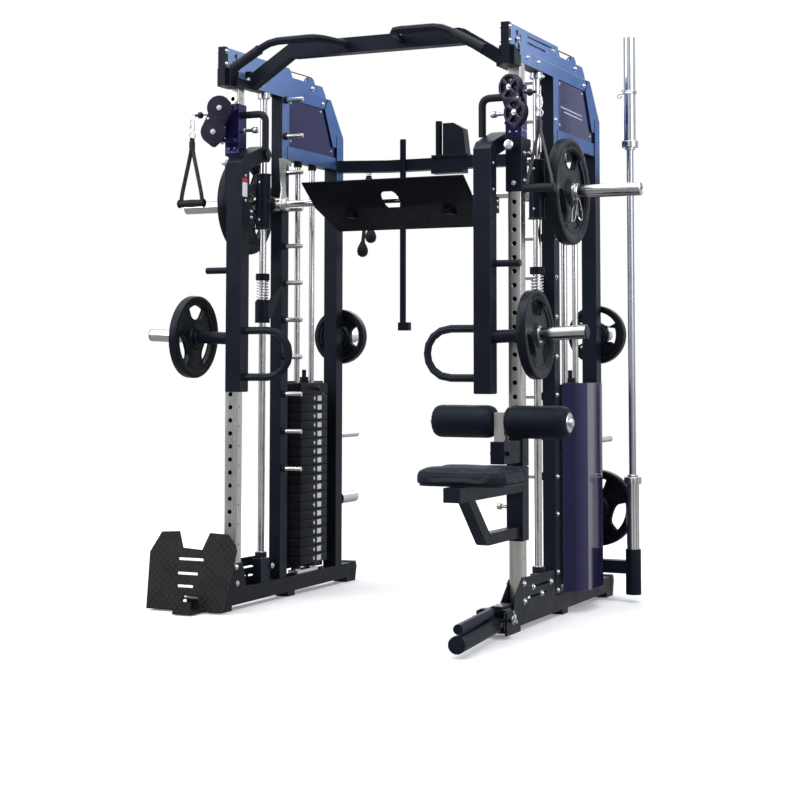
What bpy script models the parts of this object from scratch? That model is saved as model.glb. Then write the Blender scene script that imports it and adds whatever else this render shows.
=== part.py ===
"""Smith machine with cable columns, lever arms, seat, landmine and barbell rack.

Metres, +Z up.  +X is the right side, which carries the seat; -Y is the front.
The parts are placed from the point on the floor midway between the two front
uprights.  The last lines move everything forward, so that the origin is on the
floor under the middle of the overall box.

Paired parts are described for the right side and mirrored in X for the left.
"""
import math

import bmesh
import bpy
from mathutils import Matrix, Vector

# ------------------------------------------------------------------ shared dimensions
# Side frames
RX = 0.585                  # centre plane of the right side frame
UP = 0.025                  # half width of an upright
BEAM_TOP = 0.080            # top of the floor beams
TOP0, TOP1 = 2.030, 2.078   # top beam, underside and top
MID_Y0, MID_Y1 = 0.335, 0.395
REAR_Y0, REAR_Y1 = 0.825, 0.885
GAP = 0.0003                # between parts that stand on each other
PEG_START = REAR_Y1 - 0.001           # storage pegs begin just inside the rear post
UPPER_PEG_Z, LOWER_PEG_Z = 1.060, 0.360

# Catch pegs on the middle upright
PEG_Y, PEG_R = 0.350, 0.009
PEG_Z0, PEG_STEP, PEG_COUNT = 0.518, 0.150, 11
HOOK_PEG = 8                # the peg, counted from 0 at the bottom, that the bar hooks reach over

# Guided bar and its rods
GUIDE = (0.583, 0.220)      # x, y of the guide rod
ROD_R = 0.014
BAR_Y, BAR_Z = BAR = (0.270, 1.581)   # axis of the bar
BAR_R, SLEEVE_R = 0.014, 0.025
SLIDE_BORE = ROD_R + 0.0006           # running hole on a guide rod
BAR_BORE = BAR_R + 0.0006

# Weight stack
STACK_Y = (0.520, 0.650)    # its two rods
STACK_MID = sum(STACK_Y) / 2
STACK_BORE = 0.0135

# Carriages on the front uprights
CARRIAGE_HALF = 0.0305      # half width outside
SEAT_CARRIAGE_HALF = 0.031
BORE_HALF = 0.0256          # half width of the square hole round the upright

# Lever arms
PIVOT = (0.050, 1.755)      # y, z
ARM_X0, ARM_X1 = 0.474, 0.540
ARM_Y = -0.114
HORN_X0, HORN_X1 = 0.538, 0.885       # plate horn of the lever, rising outwards
HORN_Z0, HORN_Z1 = 1.035, 1.050

# Cable wheel block
SWIVEL = (0.618, -0.046)    # x, y of its upright pin
YAW = -20.0                 # it rests turned inwards by this much, in degrees
UPPER_WHEEL, LOWER_WHEEL = (0.620, 1.9265), (0.644, 1.8330)   # x, z

# Single parts
ROLLER = (-0.160, 0.737)    # y, z of the knee roller axis
MINE_X, MINE_Y = MINE = (0.586, -0.195)    # upright pin of the landmine swivel
TILT = (-0.235, 0.062)      # y, z of the landmine tilt pin
BARBELL = (0.752, (REAR_Y0 + REAR_Y1) / 2)

BACK = 0.196315             # from the front uprights back to the middle of the overall depth

WELD = 1e-5                 # points closer than this are merged
SHARP_ANGLE = math.radians(32)

# Look: base colour, roughness, metallic
LOOKS = {
    "coat": ((0.018, 0.020, 0.027), 0.42, 0.0),
    "coat_blue": ((0.022, 0.034, 0.075), 0.35, 0.2),
    "gloss": ((0.030, 0.018, 0.090), 0.18, 0.1),
    "nickel": ((0.62, 0.61, 0.58), 0.28, 1.0),
    "chrome": ((0.80, 0.80, 0.82), 0.10, 1.0),
    "rubber": ((0.016, 0.016, 0.018), 0.60, 0.0),
    "vinyl": ((0.014, 0.014, 0.017), 0.45, 0.0),
    "foam": ((0.018, 0.018, 0.020), 0.80, 0.0),
    "tread": ((0.020, 0.020, 0.024), 0.55, 0.0),
}

# ------------------------------------------------------------------ scene setup
for old in list(bpy.data.objects):
    bpy.data.objects.remove(old, do_unlink=True)

parts = bpy.data.collections.new("Smith machine")
helpers = bpy.data.collections.new("Cutters and joins")
bpy.context.scene.collection.children.link(parts)
bpy.context.scene.collection.children.link(helpers)


def material(name, colour, roughness, metallic):
    mat = bpy.data.materials.new(name)
    mat.use_nodes = True
    inputs = mat.node_tree.nodes["Principled BSDF"].inputs
    inputs["Base Color"].default_value = (*colour, 1)
    inputs["Roughness"].default_value = roughness
    inputs["Metallic"].default_value = metallic
    return mat


# ------------------------------------------------------------------ shapes
def on_axis(axis, others, along):
    """Point with one coordinate along the axis and the other two in x, y, z order."""
    point = list(others)
    point.insert("xyz".index(axis), along)
    return point


def box(x0, x1, y0, y1, z0, z1):
    shape = bmesh.new()
    bmesh.ops.create_cube(shape, size=1.0)
    centre = Vector(((x0 + x1) / 2, (y0 + y1) / 2, (z0 + z1) / 2))
    size = Matrix.Diagonal((abs(x1 - x0), abs(y1 - y0), abs(z1 - z0), 1))
    bmesh.ops.transform(shape, matrix=Matrix.Translation(centre) @ size, verts=shape.verts)
    return shape


def rod_between(start, end, radius, sides=16):
    start, end = Vector(start), Vector(end)
    shape = bmesh.new()
    bmesh.ops.create_cone(
        shape, cap_ends=True, segments=sides, radius1=radius, radius2=radius,
        depth=(end - start).length,
    )
    turn = Vector((0, 0, 1)).rotation_difference(end - start).to_matrix().to_4x4()
    place = Matrix.Translation((start + end) / 2)
    bmesh.ops.transform(shape, matrix=place @ turn, verts=shape.verts)
    return shape


def rod(axis, centre, radius, start, end, sides=16):
    """Cylinder along an axis; centre holds its other two coordinates."""
    return rod_between(on_axis(axis, centre, start), on_axis(axis, centre, end), radius, sides)


PLATE_TURNS = {
    # thickness axis -> rotation whose columns are first, second and thickness axis
    "x": Matrix(((0, 0, 1), (1, 0, 0), (0, 1, 0))),
    "y": Matrix(((1, 0, 0), (0, 0, -1), (0, 1, 0))),
    "z": Matrix(((1, 0, 0), (0, 1, 0), (0, 0, 1))),
}


def add_polyline(curve, points, closed):
    spline = curve.splines.new("POLY")
    spline.points.add(len(points) - 1)
    for point, position in zip(spline.points, points):
        point.co = (*position, 1)
    spline.use_cyclic_u = closed


def from_curve(curve, matrix):
    """The curve's evaluated mesh, caps welded, as a bmesh placed by the matrix."""
    guide = bpy.data.objects.new("guide", curve)
    bpy.context.scene.collection.objects.link(guide)
    bpy.context.view_layer.update()
    evaluated = guide.evaluated_get(bpy.context.evaluated_depsgraph_get())
    mesh = bpy.data.meshes.new_from_object(evaluated)
    shape = bmesh.new()
    shape.from_mesh(mesh)
    bmesh.ops.remove_doubles(shape, verts=shape.verts, dist=WELD)
    bmesh.ops.transform(shape, matrix=matrix, verts=shape.verts)
    bmesh.ops.recalc_face_normals(shape, faces=shape.faces)
    bpy.data.objects.remove(guide, do_unlink=True)
    bpy.data.curves.remove(curve)
    bpy.data.meshes.remove(mesh)
    return shape


def plate(axis, outline, start, end):
    """Flat outline (the two other axes, in x, y, z order) extruded along the axis."""
    curve = bpy.data.curves.new("outline", "CURVE")
    curve.dimensions = "2D"
    curve.fill_mode = "BOTH"
    curve.extrude = abs(end - start) / 2
    add_polyline(curve, [(u, v, 0) for u, v in outline], closed=True)
    shift = Matrix.Translation(on_axis(axis, (0, 0), (start + end) / 2))
    return from_curve(curve, shift @ PLATE_TURNS[axis].to_4x4())


def tube(points, radius, resolution=2):
    """Round bar bent along a line of points."""
    curve = bpy.data.curves.new("path", "CURVE")
    curve.dimensions = "3D"
    curve.bevel_depth = radius
    curve.bevel_resolution = resolution
    curve.use_fill_caps = True
    add_polyline(curve, points, closed=False)
    return from_curve(curve, Matrix.Identity(4))


def turned(axis, centre, profile, steps):
    """Closed profile of (radius, position along the axis) spun about the axis."""
    shape = bmesh.new()
    ring = [shape.verts.new((radius, 0, along)) for radius, along in profile]
    edges = [shape.edges.new((ring[i], ring[(i + 1) % len(ring)])) for i in range(len(ring))]
    bmesh.ops.spin(
        shape, geom=ring + edges, cent=(0, 0, 0), axis=(0, 0, 1), angle=2 * math.pi,
        steps=steps, use_merge=False, use_duplicate=False,
    )
    bmesh.ops.remove_doubles(shape, verts=shape.verts, dist=WELD)
    bmesh.ops.recalc_face_normals(shape, faces=shape.faces)
    goal = Vector(on_axis(axis, (0, 0), 1))
    turn = Vector((0, 0, 1)).rotation_difference(goal).to_matrix().to_4x4()
    place = Matrix.Translation(on_axis(axis, centre, 0))
    bmesh.ops.transform(shape, matrix=place @ turn, verts=shape.verts)
    if shape.calc_volume(signed=True) < 0:
        bmesh.ops.reverse_faces(shape, faces=shape.faces)
    return shape


def arc(centre_u, centre_v, radius, start, end, steps):
    """Points of an arc, angles in degrees."""
    angles = [math.radians(start + (end - start) * i / steps) for i in range(steps + 1)]
    return [(centre_u + radius * math.cos(angle), centre_v + radius * math.sin(angle))
            for angle in angles]


def rounded(u0, u1, v0, v1, radius, steps=4):
    """Outline of a rectangle with rounded corners."""
    return (
        arc(u1 - radius, v1 - radius, radius, 0, 90, steps)
        + arc(u0 + radius, v1 - radius, radius, 90, 180, steps)
        + arc(u0 + radius, v0 + radius, radius, 180, 270, steps)
        + arc(u1 - radius, v0 + radius, radius, 270, 360, steps)
    )


# Shapes that reach equally far (half) to both sides of the right frame's centre plane.
def frame_box(half, y0, y1, z0, z1):
    return box(RX - half, RX + half, y0, y1, z0, z1)


def frame_plate(outline, half):
    return plate("x", outline, RX - half, RX + half)


def frame_rod(centre, radius, half, sides):
    return rod("x", centre, radius, RX - half, RX + half, sides)


def column(half, z0, z1):
    """Square column on the axis of the front upright."""
    return frame_box(half, -half, half, z0, z1)


# ------------------------------------------------------------------ assembly of one part
def mesh_of(shapes, name, side, origin):
    """One mesh from several shapes, mirrored in X for the left side; uses the shapes up."""
    whole = bmesh.new()
    for shape in shapes:
        if side < 0:
            bmesh.ops.scale(shape, vec=(-1, 1, 1), verts=shape.verts)
            bmesh.ops.reverse_faces(shape, faces=shape.faces)
        bmesh.ops.translate(shape, vec=-Vector(origin), verts=shape.verts)
        temp = bpy.data.meshes.new("temp")
        shape.to_mesh(temp)
        shape.free()
        whole.from_mesh(temp)
        bpy.data.meshes.remove(temp)
    mesh = bpy.data.meshes.new(name)
    whole.to_mesh(mesh)
    whole.free()
    return mesh


def add_boolean(obj, shapes, kind, operation, side):
    name = f"{obj.name}_{kind}"
    helper = bpy.data.objects.new(name, mesh_of(shapes, name, side, (0, 0, 0)))
    helper.hide_render = True
    helper.display_type = "WIRE"
    helpers.objects.link(helper)
    modifier = obj.modifiers.new(kind, "BOOLEAN")
    modifier.operation = operation
    modifier.solver = "EXACT"
    modifier.use_self = True
    modifier.object = helper


def part(name, look, shapes, cuts=(), side=1, origin=(0, 0, 0)):
    """First shape, the others joined to it, then the cuts taken away."""
    origin = (origin[0] * side, origin[1], origin[2])
    mesh = mesh_of(shapes[:1], name, side, origin)
    mesh.shade_smooth()
    mesh.set_sharp_from_angle(angle=SHARP_ANGLE)
    obj = bpy.data.objects.new(name, mesh)
    obj.location = origin
    parts.objects.link(obj)
    mesh.materials.append(material(name, *LOOKS[look]))
    if len(shapes) > 1:
        add_boolean(obj, shapes[1:], "join", "UNION", side)
    if cuts:
        add_boolean(obj, cuts, "cut", "DIFFERENCE", side)


SIDE_WORDS = {1: "right", -1: "left"}


def side_part(side, name, look, shapes, cuts=(), origin=(0, 0, 0)):
    part(f"{SIDE_WORDS[side]}_{name}", look, shapes, cuts, side, origin)


# ------------------------------------------------------------------ side frames
# Outlines are (y, z).
REAR_FOOT = [
    (0.930, 0.0), (1.015, 0.0), (1.030, 0.060), (1.020, 0.084), (0.985, 0.084), (0.985, 0.022),
    (0.930, 0.022),
]
OUTER_GUSSET = [(-0.123, 0.075), (0.322, 0.075), (0.300, 0.178), (-0.035, 0.184), (-0.112, 0.123)]
INNER_GUSSET = [(-0.120, 0.075), (0.060, 0.075), (0.030, 0.176), (-0.012, 0.176), (-0.100, 0.101)]


def base_beam(side):
    """Floor beam with feet, gusset plates either side of the upright, rod socket."""
    near, far = UP + 0.0005, UP + 0.0045    # gusset faces, from the centre plane
    shapes = [
        frame_box(0.030, -0.150, 1.000, 0.020, BEAM_TOP),
        frame_box(0.028, -0.130, -0.050, 0.000, 0.021),
        frame_box(0.028, 0.400, 0.460, 0.000, 0.021),
        frame_plate(REAR_FOOT, 0.0315),
        plate("x", OUTER_GUSSET, RX + near, RX + far),
        plate("x", INNER_GUSSET, RX - far, RX - near),
        box(0.562, 0.612, 0.185, 0.255, 0.075, 0.172),
    ]
    # Rod hole and two slots in the outer gusset.
    cuts = [
        rod("z", GUIDE, ROD_R + 0.0005, 0.120, 0.200),
        box(0.600, 0.630, 0.095, 0.235, 0.138, 0.146),
        box(0.600, 0.630, 0.020, 0.220, 0.104, 0.112),
    ]
    if side > 0:
        # Lug and pin of the landmine swivel.
        lug_x = (MINE_X - 0.020, MINE_X + 0.020)
        shapes += [
            box(*lug_x, -0.218, -0.120, 0.0975, 0.1045),
            box(*lug_x, -0.140, -0.110, 0.0700, 0.1040),
            rod("z", MINE, 0.0090, 0.0110, 0.1000, 14),
        ]
    side_part(side, "base_beam", "coat", shapes, cuts)


REAR_SLOPE = [
    (0.712, 2.029), (0.744, 2.0775), (0.768, 2.0775), (0.888, 1.928), (0.888, 1.876),
    (0.790, 1.876),
]


def side_frame(side):
    """Middle upright with catch pegs, top beam, slope, rear post with storage pegs."""
    shapes = [
        frame_box(UP, MID_Y0, MID_Y1, BEAM_TOP + GAP, 2.034),
        frame_box(UP, -0.026, 0.750, TOP0, TOP1),
        frame_plate(REAR_SLOPE, 0.0285),
        frame_box(0.030, REAR_Y0, REAR_Y1, BEAM_TOP + GAP, 1.930),
        frame_box(0.0265, 0.380, 0.830, 1.780, 1.832),
        # Flat plate on the back of the rear post.
        frame_box(0.0275, PEG_START, 0.893, 1.734, 1.922),
    ]
    for i in range(PEG_COUNT):
        shapes.append(rod("x", (PEG_Y, PEG_Z0 + i * PEG_STEP), PEG_R, 0.474, 0.562, 8))
    shapes += [
        rod("y", (RX, UPPER_PEG_Z), 0.0245, PEG_START, 1.060, 16),
        rod("y", (RX, LOWER_PEG_Z), 0.0245, PEG_START, 1.060, 16),
        rod("y", (RX, 0.632), 0.0115, PEG_START, 1.090, 12),
    ]
    cuts = []
    if side > 0:
        # Barbell cup on an arm from the rear post.
        shapes.append(box(0.614, 0.735, BARBELL[1] - 0.025, BARBELL[1] + 0.025, 0.112, 0.162))
        shapes.append(rod("z", BARBELL, 0.0305, 0.030, 0.208, 20))
        cuts.append(rod("z", BARBELL, 0.0260, 0.045, 0.300, 20))
    side_part(side, "side_frame", "coat", shapes, cuts)


def front_upright(side):
    first_hole, pitch, count = 0.3215, 0.050, 34
    holes = [rod("y", (RX, first_hole + i * pitch), 0.0085, -0.040, 0.040, 8)
             for i in range(count)]
    side_part(side, "front_upright", "nickel", [column(UP, BEAM_TOP + GAP, TOP0 - GAP)], holes)


GUSSET_PANEL = [
    (0.3955, 1.8325), (0.8240, 1.8325), (0.8240, 1.8750), (0.7875, 1.8750), (0.7100, 2.0290),
    (0.3955, 2.0290),
]


def gusset_panel(side):
    """Infill panel at the top of the side."""
    side_part(side, "gusset_panel", "gloss", [frame_plate(GUSSET_PANEL, 0.022)])


CHEEK = [
    (-0.0890, 2.0835), (-0.0265, 2.0530), (-0.0265, 2.0785), (0.752, 2.0785), (0.741, 2.096),
    (0.713, 2.128), (0.442, 2.126), (0.416, 2.161), (-0.0890, 2.161),
]


def pulley_bracket(side):
    """Two cheek plates on the top beam with the cable wheels and their bolts between."""
    near, far = 0.0115, 0.0150    # cheek faces, from the centre plane
    wheel_half, bolt_half, bolt_radius = 0.008, 0.021, 0.007
    side_part(side, "pulley_bracket", "coat_blue", [
        plate("x", CHEEK, RX + near, RX + far),
        plate("x", CHEEK, RX - far, RX - near),
        frame_rod((-0.0200, 2.114), 0.0300, wheel_half, 14),
        frame_rod((0.620, 2.117), 0.0375, wheel_half, 16),
        frame_rod((-0.0200, 2.114), bolt_radius, bolt_half, 10),
        frame_rod((0.620, 2.106), bolt_radius, bolt_half, 10),
    ], [
        # Two slots in the outer cheek.
        plate("x", [(0.080, 2.138), (0.396, 2.138), (0.396, 2.146), (0.080, 2.146)], 0.590, 0.630),
        plate("x", [(0.082, 2.114), (0.278, 2.114), (0.278, 2.122), (0.082, 2.122)], 0.594, 0.630),
    ])


def guide_rod(side):
    """Guide rod of the bar slider with bottom collar and top clamp."""
    top = TOP0 - GAP
    side_part(side, "guide_rod", "chrome", [
        rod("z", GUIDE, ROD_R, 0.1205, top),
        rod("z", GUIDE, 0.022, 0.1730, 0.198),
        rod("z", GUIDE, 0.024, 2.008, top),
    ])


# ------------------------------------------------------------------ weight stacks
def stack_rods(side):
    """Two stack rods with bottom collars on one foot plate."""
    foot_top = 0.090    # the rods start inside the foot plate
    shapes = [frame_box(0.023, STACK_MID - 0.090, STACK_MID + 0.090, BEAM_TOP + GAP, 0.094)]
    for radius, top in ((0.0115, 1.7795), (0.020, 0.118)):
        shapes += [rod("z", (RX, y), radius, foot_top, top, 14) for y in STACK_Y]
    side_part(side, "stack_rods", "chrome", shapes)


# Folded sheet as (x, y): outwards-facing bend line and back again one thickness out.
SHROUD = [
    (0.6155, 0.398), (0.6800, 0.500), (0.6800, 0.680), (0.6165, 0.785), (0.6165, 0.822),
    (0.6195, 0.822), (0.6195, 0.7858), (0.6830, 0.6808), (0.6830, 0.4992), (0.6182, 0.3968),
]


def shroud(side):
    """Folded sheet guard on the outer side of the stack."""
    side_part(side, "shroud", "gloss", [plate("z", SHROUD, BEAM_TOP + 0.003, 0.868)])


def stack_block(z0, z1):
    return frame_box(0.050, STACK_MID - 0.120, STACK_MID + 0.120, z0, z1)


def weight_stack(side):
    """Fixed lower plates as one block, bored for the rods and the stem."""
    bores = [rod("z", (RX, y), STACK_BORE, 0.100, 0.900, 14) for y in STACK_Y]
    bores.append(rod("z", (RX, STACK_MID), 0.0100, 0.100, 0.900, 12))
    side_part(side, "weight_stack", "rubber", [stack_block(0.1185, 0.8160)], bores)


def lifted_plate(side):
    """Lifted top plate with its stem, and a headed pin on the inner face."""
    bottom = 0.8165
    side_part(side, "lifted_plate", "rubber", [
        stack_block(bottom, 0.8610),
        rod("z", (RX, STACK_MID), 0.0090, 0.140, 0.9160, 12),
        rod("z", (RX, STACK_MID), 0.0180, 0.860, 0.886, 12),
        rod("x", (STACK_MID, 0.838), 0.006, 0.520, 0.536, 10),
        rod("x", (STACK_MID, 0.838), 0.012, 0.508, 0.521, 12),
    ], [rod("z", (RX, y), STACK_BORE, 0.760, 0.920, 14) for y in STACK_Y],
        origin=(RX, STACK_MID, bottom))


# ------------------------------------------------------------------ crossing members
# Sloping outer end of the main bar: x, z
PULL_BAR_END = [
    (0.345, 2.127), (0.345, 2.187), (0.370, 2.181), (0.548, 2.069), (0.548, 2.013),
    (0.530, 2.020), (0.363, 2.129),
]
# Corner piece in front of the upright: y, z
PULL_BAR_CORNER = [
    (-0.0950, 2.012), (-0.0950, 2.0820), (-0.0895, 2.0820), (-0.0268, 2.0515), (-0.0268, 2.012),
]
# Grip bar from its low outer end to its inner end at the main bar: x, y, z
GRIP = [
    (0.5160, -0.147, 2.066), (0.448, -0.150, 2.101), (0.385, -0.150, 2.138),
    (0.355, -0.150, 2.151), (0.320, -0.150, 2.157), (0.190, -0.150, 2.158),
    (0.165, -0.142, 2.158), (0.146, -0.110, 2.159), (0.108, 0.055, 2.160),
]


def pull_up_bar():
    """Main bar; at each end a slope, end blocks, corner piece, short post and grip."""
    bar_y = (0.030, 0.080)
    shapes = [box(-0.350, 0.350, *bar_y, 2.127, 2.187)]
    for side in (1, -1):
        block_x = (side * 0.5350, side * 0.5595)
        shapes += [
            plate("y", [(side * x, z) for x, z in PULL_BAR_END], *bar_y),
            box(*block_x, 0.0260, 0.0840, 2.012, 2.0850),
            box(*block_x, -0.0700, 0.0300, 2.012, 2.0450),
            plate("x", PULL_BAR_CORNER, side * 0.5550, side * 0.6145),
            box(side * 0.5700, side * 0.6000, -0.1150, -0.0895, 2.012, 2.163),
            tube([(side * x, y, z) for x, y, z in GRIP], 0.0155),
        ]
    part("pull_up_bar", "coat", shapes)


# Crossmember bowed backwards: x, y
REAR_BOW = [
    (-0.5545, 0.828), (-0.5545, 0.878), (-0.350, 0.945), (0.350, 0.945), (0.5545, 0.878),
    (0.5545, 0.828), (0.345, 0.895), (-0.345, 0.895),
]
# Upright block on the crossmember: x, z
BOW_BLOCK = [(-0.085, 1.829), (0.022, 1.829), (0.008, 1.940), (-0.036, 1.966), (-0.085, 1.966)]


def rear_crossmember():
    """Bowed member with a hanging rod and a small bracket on top, both left of centre."""
    part("rear_crossmember", "coat", [
        plate("z", REAR_BOW, 1.770, 1.820),
        # Hanging rod and the block at its foot.
        rod("z", (-0.268, 0.887), 0.0135, 1.095, 1.905, 14),
        box(-0.285, -0.235, 0.872, 0.900, 1.083, 1.118),
        # Base, rod and block on top, and a plate underneath.
        box(-0.135, 0.035, 0.885, 0.955, 1.8195, 1.8300),
        rod("z", (-0.112, 0.915), 0.0145, 1.829, 1.978, 14),
        plate("y", BOW_BLOCK, 0.893, 0.948),
        box(-0.140, 0.010, 0.893, 0.947, 1.752, 1.771),
    ])


# ------------------------------------------------------------------ guided bar
def smith_bar():
    """Bar with a loading sleeve and a collar at each end."""
    part("smith_bar", "chrome", [
        rod("x", BAR, BAR_R, -0.650, 0.650),
        rod("x", BAR, SLEEVE_R, 0.640, 0.9700, 20),
        rod("x", BAR, SLEEVE_R, -0.9700, -0.640, 20),
        rod("x", BAR, 0.034, 0.6180, 0.6410, 20),
        rod("x", BAR, 0.034, -0.6410, -0.6180, 20),
    ], origin=(0, *BAR))


def bar_slider(side):
    side_part(side, "bar_slider", "coat", [
        rod("z", GUIDE, 0.030, 1.479, 1.700, 18),
        rod("x", BAR, 0.0325, 0.555, 0.612, 18),
    ], [
        rod("z", GUIDE, SLIDE_BORE, 1.470, 1.710),
        rod("x", BAR, BAR_BORE, 0.540, 0.630),
    ], origin=(*GUIDE, 1.590))


PEG_REACH = math.hypot(PEG_Y - BAR_Y, PEG_Z0 + HOOK_PEG * PEG_STEP - BAR_Z)
HOOK_R0 = PEG_REACH + PEG_R + 0.0020    # inner edge of the jaw clears the peg
HOOK_R1 = HOOK_R0 + 0.016
# Radius from the bar axis, angle in degrees from straight up towards the back
HOOK = [
    (HOOK_R0, 21), (HOOK_R0, 14), (HOOK_R0, 8), (0.120, 6), (0.060, 14), (0.030, 60),
    (0.030, 110), (0.030, 170), (0.030, 230), (0.030, 290), (0.060, -16), (0.120, -12),
    (HOOK_R1, -10), (HOOK_R1, 0), (HOOK_R1, 10), (HOOK_R1, 20),
]


def bar_hook(side):
    """Hook plate and hub on the bar, reaching over a catch peg."""
    outline = [(BAR_Y + radius * math.sin(math.radians(angle)),
                BAR_Z + radius * math.cos(math.radians(angle))) for radius, angle in HOOK]
    side_part(side, "bar_hook", "nickel", [
        plate("x", outline, 0.514, 0.521),
        rod("x", BAR, 0.026, 0.500, 0.545, 14),
    ], [rod("x", BAR, BAR_R + 0.0004, 0.490, 0.552, 14)], origin=(0, *BAR))


def smith_plate(side):
    """Weight plate on the sleeve, recessed on its outer face."""
    near, far = 0.668, 0.713
    bore, rim, face = SLEEVE_R + 0.0005, 0.199, 0.194
    side_part(side, "smith_plate", "rubber", [turned("x", BAR, [
        (bore, near), (face, near), (rim, near + 0.006), (rim, far - 0.006), (face, far),
        (0.174, far), (0.165, far - 0.010), (bore, far - 0.010),
    ], 28)], origin=(near, *BAR))


# y, z
SPOTTER_LEVER = [
    (0.205, 1.120), (0.232, 1.120), (0.322, 1.240), (0.338, 1.290), (0.325, 1.295),
    (0.312, 1.262), (0.205, 1.180),
]


def spotter(side):
    """Safety spotter: tube on the guide rod with a latch lever to a catch peg."""
    side_part(side, "spotter", "coat", [
        rod("z", GUIDE, 0.030, 1.103, 1.189),
        plate("x", SPOTTER_LEVER, 0.548, 0.555),
        box(0.550, 0.572, 0.205, 0.235, 1.125, 1.175),
    ], [rod("z", GUIDE, SLIDE_BORE, 1.090, 1.200)], origin=(*GUIDE, 1.146))


def bumper_spring(side):
    """Coil above the spotter, with a ring on top."""
    turns, per_turn = 5, 9
    coil_radius, wire_radius = 0.0215, 0.0027
    coil_bottom, coil_height = 1.1930, 0.0815
    ring_inner, ring_outer, ring_z0, ring_z1 = ROD_R + 0.0010, 0.028, 1.272, 1.300
    steps = turns * per_turn
    coil = []
    for i in range(steps + 1):
        angle = 2 * math.pi * i / per_turn
        coil.append((GUIDE[0] + coil_radius * math.cos(angle),
                     GUIDE[1] + coil_radius * math.sin(angle),
                     coil_bottom + coil_height * i / steps))
    side_part(side, "bumper_spring", "nickel", [
        turned("z", GUIDE, [(ring_inner, ring_z0), (ring_outer, ring_z0),
                            (ring_outer, ring_z1), (ring_inner, ring_z1)], 16),
        tube(coil, wire_radius, 0),
    ], origin=(*GUIDE, 1.190))


# Bent strip falling from front to back: y, z
PRESS_STRIP = [
    (0.088, 1.640), (0.091, 1.644), (0.2065, 1.558), (0.420, 1.4805), (0.420, 1.4755),
    (0.205, 1.5535),
]


def leg_press_plate():
    """Bent plate with two blocks on the bar, their bar holes slotted open upwards."""
    slot_half = 0.0142
    block_x = (-0.210, 0.210)
    shapes = [plate("x", PRESS_STRIP, -0.340, 0.340)]
    shapes += [box(x - 0.018, x + 0.018, 0.244, 0.296, 1.515, 1.597) for x in block_x]
    cuts = [rod("x", BAR, BAR_BORE, -0.250, 0.250, 20)]
    for x in block_x:
        cuts.append(box(x - 0.040, x + 0.040, BAR_Y - slot_half, BAR_Y + slot_half,
                        BAR_Z + 0.001, 1.700))
    # Rounded opening in the middle, in front of the bar.
    cuts.append(plate("y", rounded(-0.035, 0.035, 1.500, 1.600, 0.020), 0.060, 0.236))
    part("leg_press_plate", "tread", shapes, cuts, origin=(0, *BAR))


# ------------------------------------------------------------------ lever arms
CARRIAGE_LUG = [(0.025, 1.7000), (0.070, 1.7300), (0.070, 1.7565), (0.025, 1.7565)]    # y, z


def jammer_carriage(side):
    """Carriage on the front upright with the arm pivot and a front pin."""
    side_part(side, "jammer_carriage", "coat", [
        column(CARRIAGE_HALF, 1.560, 1.7565),
        rod("x", PIVOT, 0.012, 0.4700, 0.556, 14),
        rod("x", PIVOT, 0.020, 0.4640, 0.4730, 14),
        frame_plate(CARRIAGE_LUG, CARRIAGE_HALF),
        rod("y", (RX, 1.722), 0.008, -0.062, -0.029, 12),
        rod("y", (RX, 1.722), 0.012, -0.074, -0.061, 12),
    ], [column(BORE_HALF, 1.500, 1.800)], origin=(RX, 0, 1.660))


# Arm outline, y, z: up the arm, round the pivot, and back down the front
ARM_OUTLINE = [
    (-0.144, 0.834), (-0.084, 0.834), (-0.084, 1.684), (0.028, 1.724),
    *arc(*PIVOT, 0.034, -55, 100, 6),
    (0.030, 1.786), (-0.120, 1.732), (-0.144, 1.706),
]
# Looped handle on the inner side of the arm: x, z
ARM_HANDLE = [
    (0.480, 0.8885), (0.375, 0.8885), (0.336, 0.8960), (0.306, 0.9170), (0.288, 0.9460),
    (0.283, 0.9760), (0.288, 1.0070), (0.306, 1.0360), (0.336, 1.0570), (0.375, 1.0645),
    (0.480, 1.0645),
]


def jammer_arm(side):
    """Lever arm with handle, plate horn, outer peg and a block on its back."""
    side_part(side, "jammer_arm", "coat", [
        plate("x", ARM_OUTLINE, ARM_X0, ARM_X1),
        tube([(x, ARM_Y, z) for x, z in ARM_HANDLE], 0.0145),
        rod_between((HORN_X0, ARM_Y, HORN_Z0), (HORN_X1, ARM_Y, HORN_Z1), 0.0235, 20),
        rod("x", (ARM_Y, 1.295), 0.0125, ARM_X1 - 0.002, 0.640, 12),
        box(ARM_X0 + 0.004, ARM_X1 - 0.004, -0.086, -0.046, 1.480, 1.540),
    ], [rod("x", PIVOT, 0.0125, 0.460, 0.560, 14)], origin=(0.504, *PIVOT))


def jammer_plate(side):
    """Weight plate on the horn, tilted with it."""
    near, far = 0.679, 0.716
    bore, rim, face = 0.0242, 0.158, 0.153
    rise, run = HORN_Z1 - HORN_Z0, HORN_X1 - HORN_X0
    mid_x = (near + far) / 2
    middle = Vector((mid_x, ARM_Y, HORN_Z0 + (mid_x - HORN_X0) * rise / run))
    disc = turned("x", (ARM_Y, middle.z), [
        (bore, near), (face, near), (rim, near + 0.005), (rim, far - 0.005), (face, far),
        (0.139, far), (0.129, far - 0.007), (bore, far - 0.007),
    ], 22)
    tilt = Matrix.Rotation(-math.atan2(rise, run), 3, "Y")
    bmesh.ops.rotate(disc, cent=middle, verts=disc.verts, matrix=tilt)
    side_part(side, "jammer_plate", "rubber", [disc], origin=tuple(middle))


# ------------------------------------------------------------------ cable columns
# Grip on the inner side of the carriage: x, y, z
CARRIAGE_GRIP = [
    (0.556, 0.000, 1.908), (0.478, 0.000, 1.908), (0.462, 0.000, 1.903),
    (0.4525, 0.000, 1.888), (0.4525, 0.000, 1.765),
]


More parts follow.
